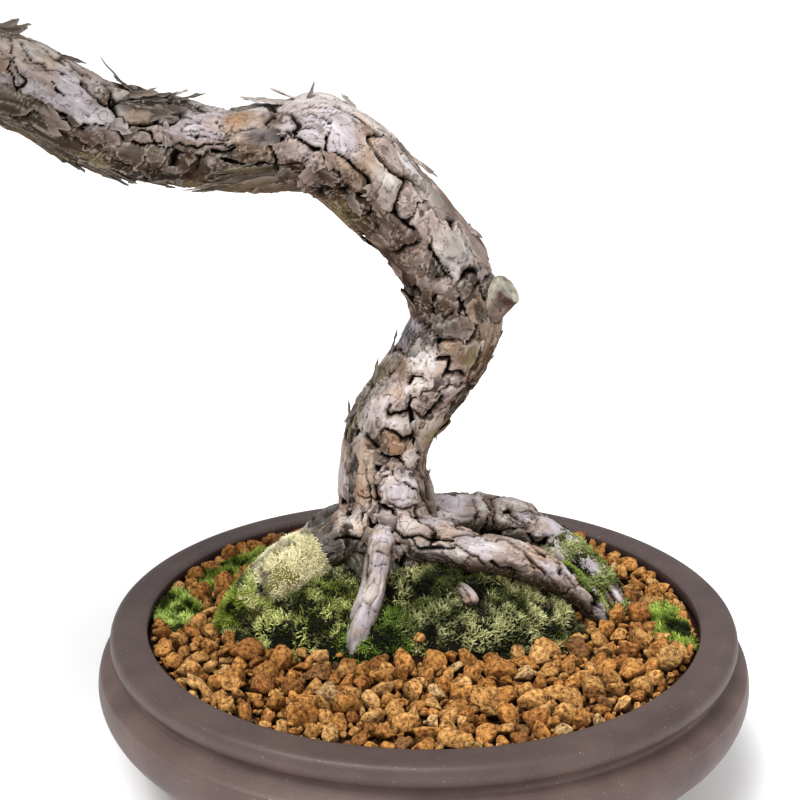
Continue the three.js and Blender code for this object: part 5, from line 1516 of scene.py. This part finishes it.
for number, shoot in enumerate(shoots):
    random = np.random.default_rng(300 + number)
    base, axis = shoot["base"], shoot["axis"]
    first = unit(np.cross(axis, [0.2, 0.9, 0.4]))
    second = np.cross(axis, first)
    up = np.repeat((np.arange(PAIRS_A_SHOOT) + 0.5) / PAIRS_A_SHOOT, 2) ** 0.85
    angle = np.repeat(np.arange(PAIRS_A_SHOOT) * GOLDEN_ANGLE, 2) + np.tile([-0.09, 0.09], PAIRS_A_SHOOT)
    outward_way = np.cos(angle)[:, None] * first + np.sin(angle)[:, None] * second
    feet = (base + axis * (SHOOT_LENGTH * (0.06 + 0.9 * up))[:, None]
            + outward_way * (1.9 - 0.9 * up)[:, None])
    spread = np.radians(82 - 60 * up + random.uniform(-7, 7, len(up)))
    wanted = NEEDLE_LENGTH * random.uniform(0.84, 1.0, len(up))
    lengths = np.zeros(len(up))
    ways = np.tile(axis, (len(up), 1))
    open_yet = np.ones(len(up), bool)
    for _ in range(16):
        trial = np.cos(spread)[:, None] * axis + np.sin(spread)[:, None] * outward_way
        free = free_lengths(number, feet, trial)
        ways[open_yet], lengths[open_yet] = trial[open_yet], free[open_yet]
        open_yet &= lengths < 0.8 * NEEDLE_LENGTH
        spread = np.where(open_yet & (spread > 0.1), spread - 0.08, spread)
    lengths = np.clip(lengths, 5.0, wanted)
    bends = -0.05 * lengths[:, None] * outward_way
    points, faces = needle_solids(feet, ways, lengths, bends, NEEDLE_RADIUS)
    share = np.tile([0, 0, 0, 0.55, 0.55, 0.55, 1.0], len(up))
    dark, fresh = linear("#24401F"), linear("#4F7433")
    blend = np.repeat(0.25 + 0.5 * up + random.uniform(-0.2, 0.2, len(up)), 7)[:, None]
    tones = dark + (fresh - dark) * np.clip(blend, 0, 1)
    tones = np.where(share[:, None] == 0, linear("#6B5A3C"), tones)
    core = straight_limb(base, axis, [-0.5, 6, SHOOT_LENGTH], [1.8, 1.5, 1.2]).tube(1.6, 8)
    bud = straight_limb(base, axis, SHOOT_LENGTH + np.array([-1, 2, 7]), [1.2, 1.7, 0.25]).tube(0.9, 8)
    whole, groups = joined_shells([(points, [faces]), core, bud])
    core_tones, bud_tones = (np.tile(linear(c), (len(part[0]), 1))
                             for c, part in (("#6F5B45", core), ("#CFC9BC", bud)))
    tones = np.vstack([tones, core_tones, bud_tones])
    whole = np.clip(whole, box_low + 0.3, box_high - 0.3)
    mesh = make_mesh(shoot["name"] + "_mesh", whole, groups, {"needle_tone": tones}, smooth=False)
    add_piece(f"{shoot['name']}_fine", mesh, needle_green, [shoot["name"]])
print("sprays:", len(shoots), "of", triangle_count[shoots[0]["name"] + "_fine"], "triangles")

# %% [markdown]
# ## Loose flakes of bark
# Sheets of old bark come loose at one end, dry, and curl away from the trunk, with torn edges.
# They give the outline of a black pine its small spikes. A displaced surface can't hang over
# itself, so each flake is a closed thin sheet of its own, pushed a little into the bark where it
# still holds. Eighteen larger ones stand where the solids have them.


# %% One flake
def flake_sheet(length, width, thick, curl, cup, taper, random):
    """A torn thin sheet along x, held at x = 0, with z away from the trunk."""
    rows, columns = (7, 5) if length < 12 else (15, 9)
    along = np.linspace(0, 1, rows)[:, None] * np.ones((1, columns))
    across = np.ones((rows, 1)) * np.linspace(-1, 1, columns)[None, :]
    ragged = 1 + 0.34 * random.uniform(-1, 1, (rows, columns))
    reach = length * along * (1 + 0.3 * random.uniform(-1, 0.6, columns)[None, :] * along)
    half = 0.5 * width * (1 - taper * along**1.5) * np.where(np.abs(across) > 0.9, ragged, 1)
    x = reach - 0.12 * length
    y = half * across + 0.12 * width * np.sin(3 * along + random.uniform(0, 6))
    wobble = random.uniform(-1, 1, (rows, columns)) * np.minimum(0.1 * width, 0.5)
    z = curl * length * along**2.2 - cup * width * across**2 + wobble * along
    body = thick * (1 - 0.55 * along) * (1 - 0.5 * across**2)
    top = np.stack([x, y, z + body / 2], axis=-1).reshape(-1, 3)
    under = np.stack([x, y, z - body / 2], axis=-1).reshape(-1, 3)
    own = rows * columns
    upper = grid_faces(rows, columns, False)
    grid = np.arange(own).reshape(rows, columns)
    rim = np.concatenate([grid[0, :], grid[1:, -1], grid[-1, -2::-1], grid[-2:0:-1, 0]])
    after = np.roll(rim, -1)
    sides = np.column_stack([rim, after, after + own, rim + own])
    rim_share = np.maximum(np.abs(across), along**2).ravel() ** 4
    held = smooth_step(0.35, 0.0, along.ravel())
    faces = np.vstack([upper, upper[:, ::-1] + own, sides[:, ::-1]])
    return np.vstack([top, under]), [faces], np.tile(rim_share, 2), np.tile(held, 2)


def seated(sheet, seat, pointing, out):
    """The sheet moved so that x points along the trunk and z away from it."""
    across = unit(np.cross(out, pointing))
    facing = np.cross(pointing, across)
    return sheet[:, :1] * pointing + sheet[:, 1:2] * across + sheet[:, 2:] * facing + seat


def draws(state):
    """The same random numbers that place the flakes of the solids."""
    while True:
        state = (state + 0x6D2B79F5) & 0xFFFFFFFF
        mixed = ((state ^ (state >> 15)) * (1 | state)) & 0xFFFFFFFF
        mixed = ((mixed + (((mixed ^ (mixed >> 7)) * (61 | mixed)) & 0xFFFFFFFF)) & 0xFFFFFFFF) ^ mixed
        yield ((mixed ^ (mixed >> 14)) & 0xFFFFFFFF) / 4294967296


print("first number of the solids' flakes:", round(next(draws(41)), 3))


# %% Flakes at the places of the solids
flake_random = np.random.default_rng(47)
flakes, flake_looks = [], []
bark_spots, bark_tints = wood[::5], wood_attributes["plate_tint"][::5]


def keep_flake(sheet, frame_at, tone):
    """Stores one flake with what its finish needs: local place, tone, a pale rim that is partly painted
    highlight, and painted shade at its held foot.
    """
    points, groups, rim, held = sheet
    flakes.append((seated(points, *frame_at), groups))
    bark_there = bark_tints[np.argmin(((bark_spots - frame_at[0]) ** 2).sum(axis=1))]
    # Darker where the flake is held to the trunk: painted shade.
    shade = (0.75 + 0.3 * flake_random.uniform()) * (1 - 0.45 * held)[:, None]
    place = points + flake_random.uniform(0, 400, 3)
    own_share = 0.7 if tone == "dark" else 0.4
    own = tone_colours[tone_names.index(tone)]
    mottled = 1 + 0.3 * noise(place, 3.0, 77)[:, None]
    tint = (own_share * own + (1 - own_share) * bark_there) * shade * mottled
    flake_looks.append((tint, place, -0.5 * rim))


FLAKES_OF_SOLIDS = 18
number_from = draws(41)
share_of_trunk = np.linspace(0, 1, len(trunk.at))
for i in range(FLAKES_OF_SOLIDS):
    share = 0.16 + 0.6 * ((i + next(number_from)) / FLAKES_OF_SOLIDS)
    middle, tangent = (np.array([np.interp(share, share_of_trunk, part[:, k]) for k in range(3)])
                       for part in (trunk.at, trunk.tangent))
    tangent = unit(tangent)
    out = unit(np.cross([0, 1, 0], tangent))
    angle = i * GOLDEN_ANGLE
    out = out * math.cos(angle) + np.cross(tangent, out) * math.sin(angle)
    length, width = 9 + 6 * next(number_from), 5 + 4 * next(number_from)
    lean = 0.6 * (0.3 + 0.3 * next(number_from))
    pointing = tangent * (math.cos(lean) if i % 2 == 0 else -math.cos(lean)) + out * math.sin(lean)
    seat = middle + out * (np.interp(share, share_of_trunk, trunk.radius) - 0.6)
    sheet = flake_sheet(0.75 * length, 0.8 * width, 0.7, 0.04, 0.12, 0.45, flake_random)
    keep_flake(sheet, (seat, pointing, out), flake_random.choice(["pink", "brown", "grey", "dark"]))
print("flakes as in the solids:", len(flakes))

# %% [markdown]
# ### Torn sheets and spikes
# The front of the tree shows some loose sheets well: a spike and layered tips on the level trunk,
# a long split layer under it, and a torn scale at the elbow. They are placed by their spot on the
# trunk, the way their free end points and how far it stands off. Small flakes are drawn at random
# over the rest, more of them on the undersides, where rain doesn't wash them off.


# %% Loose flakes by their place on the trunk
def add_flake(along, degrees, turn, lift, length, width, thick, curl, tone, taper=0.6, sink=0.5):
    """turn: degrees from the way the trunk grows towards its side. lift: degrees off the surface."""
    seat, out, tangent = trunk.place(np.array([along]), np.array([degrees]), np.array([-sink]))
    out, tangent = out[0], unit(tangent[0])
    side = np.cross(tangent, out)
    flat_way = tangent * math.cos(math.radians(turn)) + side * math.sin(math.radians(turn))
    pointing = flat_way * math.cos(math.radians(lift)) + out * math.sin(math.radians(lift))
    facing = out * math.cos(math.radians(lift)) - flat_way * math.sin(math.radians(lift))
    keep_flake(flake_sheet(length, width, thick, curl, 0.1, taper, flake_random),
               (seat[0], pointing, facing), tone)


# along, degrees, turn, lift, length, width, thickness, curl, tone
SHEETS_SEEN = [
    (245, 96, 0, 38, 11.0, 2.6, 0.5, -0.05, "dark", 0.8), (243, 92, 10, 16, 6.0, 4.0, 0.5, 0.1, "dark"),
    (236, 88, 180, 9, 9.0, 6.0, 0.6, 0.0, "dark"), (239, 68, 180, 7, 8.0, 6.0, 0.6, 0.0, "dark"),
    (232, 98, 175, 14, 8.0, 4.0, 0.5, 0.1, "grey"), (233, 58, 185, 6, 8.0, 6.0, 0.6, 0.0, "dark"),
    (228, 88, 178, 10, 9.0, 4.0, 0.5, 0.12, "dark"), (236, 42, 176, 6, 8.0, 5.0, 0.6, 0.0, "dark"),
    (190, 86, 0, 9, 15.0, 7.0, 0.5, 0.06, "grey"), (188, 95, 0, 16, 9.0, 4.0, 0.5, 0.12, "pale"),
    (186.5, 84, 150, 62, 5.5, 2.2, 0.5, 0.0, "dark", 0.8), (178, 96, 20, 14, 8.0, 5.0, 0.5, 0.1, "grey"),
    (248, -72, 180, 11, 12.0, 5.0, 0.5, -0.03, "dark", 0.75),
    (246, -66, 178, 8, 11.0, 4.5, 0.5, 0.0, "dark", 0.7), (262, -66, 180, 2, 15.0, 6.0, 0.5, 0.0, "dark"),
    (270, -56, 178, 2, 16.0, 6.5, 0.5, 0.0, "olive"), (254, -74, 181, 3, 14.0, 6.0, 0.5, 0.0, "brown"),
    (276, -64, 180, 3, 15.0, 6.0, 0.5, 0.0, "dark"), (240, -66, 179, 2, 16.0, 6.0, 0.5, 0.0, "brown"),
    (233, -76, 181, 3, 13.0, 6.0, 0.5, 0.0, "dark"), (264, -78, 182, 4, 12.0, 6.0, 0.5, 0.0, "olive"),
    (226, -74, 180, 3, 12.0, 6.0, 0.5, 0.0, "dark"), (258, -50, 179, 2, 14.0, 4.0, 0.5, 0.0, "dark"),
    (248, -44, 180, 2, 14.0, 3.5, 0.5, 0.0, "dark"),
    (197, -56, 3, 5, 27.0, 8.0, 0.8, -0.03, "olive", 0.85),
    (199, -44, 3, 4, 20.0, 4.5, 0.5, 0.0, "dark", 0.7),
    (200, -37, 2, 4, 19.0, 4.5, 0.5, 0.0, "grey", 0.7),
    (201, -29, 2, 4, 17.0, 3.4, 0.5, 0.0, "dark", 0.7),
    (200, -22, 2, 4, 16.0, 3.2, 0.5, 0.0, "olive", 0.7), (192, -62, 4, 2, 14.0, 9.0, 0.6, 0.0, "brown"),
    (206, -26, 2, 2, 12.0, 4.0, 0.5, 0.0, "dark"), (285, 98, 150, 30, 8.0, 7.0, 0.6, 0.1, "olive"),
    (286, 92, 160, 22, 8.0, 7.0, 0.6, 0.1, "dark"), (287, 104, 140, 40, 8.0, 6.0, 0.6, 0.1, "grey"),
    (273, 88, 178, 8, 12.0, 5.0, 0.5, 0.03, "dark"), (75, -80, 0, 12, 8.0, 5.0, 0.6, 0.1, "dark"),
    (68, -70, 180, 12, 9.0, 5.0, 0.6, 0.1, "grey"), (84, -86, 0, 16, 8.0, 4.0, 0.6, 0.1, "dark"),
    (60, -88, 0, 10, 9.0, 4.0, 0.6, 0.1, "brown"), (150, 88, 0, 5, 18.0, 4.5, 0.7, 0.02, "brown"),
    (165, 92, 180, 5, 16.0, 4.5, 0.7, 0.02, "tan"), (138, 84, 180, 8, 13.0, 5.0, 0.7, 0.05, "pale"),
    (120, 20, 175, 8, 12.0, 6.0, 0.8, 0.02, "dark"),
]
for row in SHEETS_SEEN:
    add_flake(*row)
SMALL_FLAKES = 300
small = 0
while small < SMALL_FLAKES:
    along, degrees = flake_random.uniform(6, trunk.length - 12), flake_random.uniform(-180, 180)
    _, out, _ = trunk.place(np.array([along]), np.array([degrees]), np.array([0.0]))
    if out[0, 2] > flake_random.uniform(-1.0, 0.9):
        continue
    size = flake_random.uniform(0.5, 1.25) * float(np.interp(along, trunk.along, trunk.radius)) / 14
    tone = flake_random.choice(["pale", "pink", "brown", "olive", "grey", "dark"],
                               p=[0.12, 0.2, 0.26, 0.12, 0.18, 0.12])
    add_flake(along, degrees, flake_random.choice([0, 180]) + flake_random.normal(0, 35),
              flake_random.uniform(2, 12), 5.6 * size, 4.2 * size, 0.4, flake_random.uniform(-0.05, 0.1),
              tone, 0.35)
    small += 1
print("flakes in all:", len(flakes))

# %% Adding the flakes
sheets, groups = joined_shells(flakes)
tints, places, rims = (np.concatenate([look[k] for look in flake_looks]) for k in range(3))
mesh = make_mesh("bark_flakes", sheets, groups,
                 {"plate_tint": tints, "straight_place": places, "sheet_edge_shading": rims,
                  "crack": np.zeros(len(sheets))}, smooth=False)
add_piece("bark_flakes", mesh, bark)
print("flakes:", len(flakes), "with", triangle_count["bark_flakes"], "triangles")

# %% [markdown]
# ## Moss and lichen
# Moss keeps the mound from drying out. It grows in low cushions, black and wet at the foot and
# yellow-green where light reaches the tips, and creeps over the roots. Each cushion is a bumpy
# dark base with thousands of tiny shoots, each a thin solid cone 1 to 3 mm high, thicker than a
# real shoot, which stands for its tuft of leaves. The straw-coloured tufts on the left root are
# dry moss and lichen, made the same way with paler tones.

# %% The moss finish
moss_green = new_finish("living_moss", {"Roughness": 0.8, "Specular IOR Level": 0.25})
add_node(moss_green, "tone", "Attribute", {"attribute_name": "moss_tone"})
connect(moss_green, "shader", {"Base Color": "tone.Color"})
print("moss:", len(moss_green.node_tree.nodes), "nodes")


# %% Moss helpers
THIRDS_OF_A_TURN = (0.0, 2.094, 4.189)
TUFTS_A_SQUARE_MM = 5.5


def over_wood(points):
    """How far each point is outside the trunk and the roots."""
    return np.min([nearest_on(limb, points)[2] for limb in limbs], axis=0)


def tufts(feet, ways, tall, tones, seed, random, least=0.0):
    """Thin three-sided cones on these feet, as points, faces and tones. They stand in clumps."""
    dark, mid, light = (linear(tone) for tone in tones)
    clump = noise(feet, 4.2, 40)
    ways = unit(ways + random.normal(0, 0.6 + 0.7 * least, ways.shape))
    lengths = random.uniform(0.6, 1.15, len(feet)) * tall * (1 + 0.35 * clump)
    thick = random.uniform(0.28, 0.55, len(feet))
    across = unit(np.cross(ways, [0.9, 0.1, 0.3]))
    other = np.cross(ways, across)
    ring = [feet + thick[:, None] * (across * math.cos(a) + other * math.sin(a))
            for a in THIRDS_OF_A_TURN]
    points = np.stack([*ring, feet + ways * lengths[:, None]], axis=1).reshape(-1, 3)
    faces = repeated([[0, 1, 3], [1, 2, 3], [2, 0, 3]], len(feet), 4)
    patch = smooth_step(-0.4, 0.28, 0.7 * noise(feet, 11.0, seed) + 0.5 * clump
                        + 0.3 * noise(feet, 1.9, seed + 1))
    patch = least + (1 - least) * patch * random.uniform(0.4, 1.2, len(feet))
    tip = mid + (light - mid) * np.clip(patch, 0, 1)[:, None]
    # Tufts in the dips between clumps are painted darker as shade, and each tuft's foot is darker than its
    # tip, partly its own dark stem and partly painted shade.
    hollow = 0.15 + 0.5 * least
    depth = smooth_step(-0.6, 0.0, clump + 0.4 * noise(feet, 2.0, seed + 2))
    depth = (hollow + (1 - hollow) * depth)[:, None]
    tip = tip * depth
    foot_tone = (dark + (mid - dark) * np.clip(patch, 0, 1)[:, None] + 0.12 * (tip - mid)) * depth
    return points, faces, np.stack([foot_tone, foot_tone, foot_tone, tip], axis=1).reshape(-1, 3)


def add_moss(name, shells, tones, stands_for=()):
    whole, groups = joined_shells(shells)
    mesh = make_mesh(name, whole, groups, {"moss_tone": np.vstack(tones)}, smooth=False)
    add_piece(name, mesh, moss_green, stands_for)
    print(name, triangle_count[name], "triangles")


def slope_way(x, y, height_at):
    """The unit normal of a height field."""
    gap = 0.4
    rise_x = (height_at(x + gap, y) - height_at(x - gap, y)) / (2 * gap)
    rise_y = (height_at(x, y + gap) - height_at(x, y - gap)) / (2 * gap)
    return unit(np.column_stack([-rise_x, -rise_y, np.ones(len(x))]))


def bumps(x, y, swell):
    flat = flat_places(x, y)
    return swell * (1.5 * noise(flat, 4.2, 41) + 0.5 * noise(flat, 2.0, 42))


# %% Cushions
MOSS_REACH = 91.4


def spread_out(reach, angle, at, half, turn):
    """Places on a cushion from the middle outwards, kept inside the pot."""
    cos_t, sin_t = math.cos(math.radians(turn)), math.sin(math.radians(turn))
    u, v = reach * np.cos(angle) * half[0], reach * np.sin(angle) * half[1]
    x, y = at[0] + u * cos_t - v * sin_t, at[1] + u * sin_t + v * cos_t
    inside = np.minimum(1, MOSS_REACH / np.hypot(x, y))
    return x * inside, y * inside


rings, spokes = 22, 60
base_reach = np.repeat(np.linspace(0.02, 1.04, rings), spokes)
base_angle = np.tile(np.linspace(0, 2 * np.pi, spokes, endpoint=False), rings)
for number, (name, *shape, tones) in enumerate(CUSHIONS):
    random = np.random.default_rng(500 + number)
    half = shape[1]
    x, y = spread_out(base_reach, base_angle, *shape[:3])
    z, away = cushion_top(x, y, *shape)
    lichen = "lichen" in name
    swell = 2.4 if lichen else 1.0
    base_points = np.column_stack([x, y, z + bumps(x, y, swell) - 1.2 - 2.0 * smooth_step(0.9, 1.03, away)])
    base_tone = np.tile(linear(tones[0]), (len(x), 1))
    count = int(math.pi * half[0] * half[1] * TUFTS_A_SQUARE_MM)
    x, y = spread_out(np.sqrt(random.uniform(0, 1.05, count)), random.uniform(0, 2 * np.pi, count),
                      *shape[:3])
    z, away = cushion_top(x, y, *shape)
    feet = np.column_stack([x, y, z + bumps(x, y, swell) - 1.5])
    keep = (away + 0.22 * noise(feet, 6.0, 43) < 1.0) & (over_wood(feet) > -0.6)
    feet = feet[keep]
    ways = slope_way(feet[:, 0], feet[:, 1], lambda x, y: cushion_top(x, y, *shape)[0]) + [0, 0, 0.35]
    tall, least = (1.5, 0.6) if lichen else (2.1, 0.0)
    points, faces, tuft_tones = tufts(feet, ways, tall, tones, 45 + number, random, least)
    shells = [(base_points, [grid_faces(rings, spokes, True)]), (points, [faces])]
    stands_for = [name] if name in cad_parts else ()
    add_moss(f"{name}_fine", shells, [base_tone, tuft_tones], stands_for)

# %% [markdown]
# ### Moss between and on the roots
# Short dark moss covers the soil of the mound, and the foot of the left root is wrapped in it. On
# the right, only the ends of the two roots carry a thin green fur.


# %% Moss over the mound and the roots
moss_random = np.random.default_rng(611)
MOUND_TUFTS = 42000
count = MOUND_TUFTS
x, y = moss_random.uniform(-74, 60, count), -44 + 106 * moss_random.uniform(0, 1, count) ** 1.9
feet = np.column_stack([x, y, soil_height(x, y) - 1.3])
flat = flat_places(x, y)
feet[:, 2] += 0.7 * noise(flat, 4.0, 3) + 0.4 * noise(flat, 1.7, 4)
in_cushion = np.min([cushion_top(x, y, *row[1:5])[1] for row in CUSHIONS], axis=0)
keep = ((mound_radius(x, y) < 0.93 + 0.1 * noise(flat, 7.0, 48)) & (in_cushion > 0.93)
        & (over_wood(feet) > -0.4))
feet = feet[keep]
ways = slope_way(feet[:, 0], feet[:, 1], soil_height) + [0, 0, 0.3]
points, faces, tones = tufts(feet, ways, 2.0, ("#14180B", "#55612C", "#C6CC80"), 71, moss_random)
add_moss("moss_on_the_mound", [(points, [faces])], [tones])


def limb_moss(limb, low, high, height, density, tones, seed, bare, least=0.0, side=(0, 0, 1), facing=-0.75):
    """Tufts on one side of a limb between two places along it, thinner where the noise is under bare."""
    around = 2 * math.pi * float(np.interp((low + high) / 2, limb.along, limb.radius))
    count = int((high - low) * around * density)
    along, degrees = moss_random.uniform(low, high, count), moss_random.uniform(-180, 180, count)
    feet, out, _ = limb.place(along, degrees, np.full(count, height))
    fade = smooth_step(0, 8, along - low) - 0.4
    keep = ((noise(feet, 8.0, seed) + fade > bare)
            & (out @ np.array(side) + 0.25 * noise(feet, 5.0, seed + 4) > facing))
    keep &= feet[:, 2] > soil_height(feet[:, 0], feet[:, 1]) - 2.5
    return tufts(feet[keep], out[keep] + [0, 0, 0.3], 2.0 - 0.8 * least, tones, seed, moss_random, least)


left_path = np.array(ROOTS["left"][2:], float)
left_path[:, 3] += [-1.2, 1.2, 1.6, 1.6, 1.6]
left_root = Limb(left_path)
sleeve, sleeve_faces = left_root.tube(1.6, 26)
quads, caps = sleeve_faces
sleeve_out = outward(sleeve, np.vstack([quads[:, [0, 1, 2]], quads[:, [0, 2, 3]], caps]))
sleeve = sleeve + (1.5 * noise(sleeve, 7.0, 50) + 0.9 * noise(sleeve, 3.2, 49))[:, None] * sleeve_out
straw = limb_moss(left_root, 2, 30, 0.4, 9.0, ("#6A6538", "#CFC795", "#FFFAE0"), 75, -2, 0.6)
green = limb_moss(left_root, 22, left_root.length, 0.4, 6.0, ("#1E280C", "#788C30", "#D8E27C"), 77, -2)
dry = smooth_step(34, 24, nearest_on(left_root, sleeve)[0])[:, None]
sleeve_tone = linear("#232611") + dry * (linear("#7A7444") - linear("#232611"))
add_moss("moss_on_left_root", [(sleeve, sleeve_faces), (straw[0], [straw[1]]), (green[0], [green[1]])],
         [sleeve_tone, straw[2], green[2]])
right_tones = ("#39421A", "#93A350", "#E4EAAE")
back_tones = ("#39421A", "#98A45A", "#ECF0C0")
fur = [
    limb_moss(limbs[2], 62, 92, -0.5, 5.0, right_tones, 81, -0.3, 0.0, (0.6, 0.65, 0.45), 0.3),
    limb_moss(limbs[3], 56, 95, -0.5, 4.0, back_tones, 83, -0.1),
]
add_moss("moss_on_right_roots", [(part[0], [part[1]]) for part in fur], [part[2] for part in fur])

# %% [markdown]
# ## Floor, light and camera
# The tree stands on a pale studio floor under soft light, as for a sales photograph: a large soft
# box above and in front, a weaker one from the side, and a bright surround that fills the shadows.
# The camera stands half a metre in front of the pot and looks down at it by 17 degrees.

# %% Floor and light
floor_finish = new_finish("matte_white_board", {"Base Color": rgba("#FAFAFA"), "Roughness": 0.9})
FLOOR_HALF = 60000.0
floor_corners = FLOOR_HALF * np.array([[-1, -1, 0], [1, -1, 0], [1, 1, 0], [-1, 1, 0]])
floor_mesh = make_mesh("floor", floor_corners, [np.array([[0, 1, 2, 3]])])
floor_mesh.materials.append(floor_finish)
floor = in_scene("floor", floor_mesh)

world = bpy.data.worlds.new("studio_surround")
world.use_nodes = True
world.node_tree.nodes["Background"].inputs["Color"].default_value = rgba("#FFFFFF")
world.node_tree.nodes["Background"].inputs["Strength"].default_value = 0.62
bpy.context.scene.world = world
bpy.context.scene.view_settings.view_transform = "Standard"
bpy.context.scene.view_settings.look = "Medium High Contrast"


def soft_box(name, place, towards, width, watts):
    lamp = bpy.data.lights.new(name, "AREA")
    lamp.shape, lamp.size, lamp.energy = "SQUARE", width, watts
    made = in_scene(name, lamp)
    made.location = place
    made.rotation_euler = (Vector(towards) - Vector(place)).to_track_quat("-Z", "Y").to_euler()


soft_box("top_soft_box", (-0.35, -0.45, 1.3), (0.08, 0.0, 0.12), 0.7, 12.0)
soft_box("side_soft_box", (0.9, -0.7, 0.7), (0.08, 0.0, 0.12), 0.6, 3.0)
skylight = in_scene("skylight", bpy.data.lights.new("skylight", "SUN"))
skylight.data.energy, skylight.data.angle = 1.3, math.radians(30)
skylight.rotation_euler = Vector((0.25, 0.35, -1.0)).to_track_quat("-Z", "Y").to_euler()
print("two soft boxes, a wide skylight and a bright surround")

# %% The camera
camera = in_scene("camera", bpy.data.cameras.new("camera"))
camera.data.sensor_width, camera.data.lens = 36.0, 72.02
camera.data.clip_start, camera.data.clip_end = 0.02, 500.0
right = Vector((0.99986970, 0.01613546, 0.00050478))
up = Vector((-0.00527688, 0.29712281, 0.95482469))
forward = Vector((-0.01525655, 0.95470293, -0.29716924))
camera.matrix_world = (Matrix.Translation((0.113, -0.48844, 0.28535))
                       @ Matrix((right, up, -forward)).transposed().to_4x4())
bpy.context.scene.camera = camera
print("lens:", round(camera.data.lens, 2), "mm")

# %% Sizes and the end
print("triangles:", sum(triangle_count.values()), triangle_count)
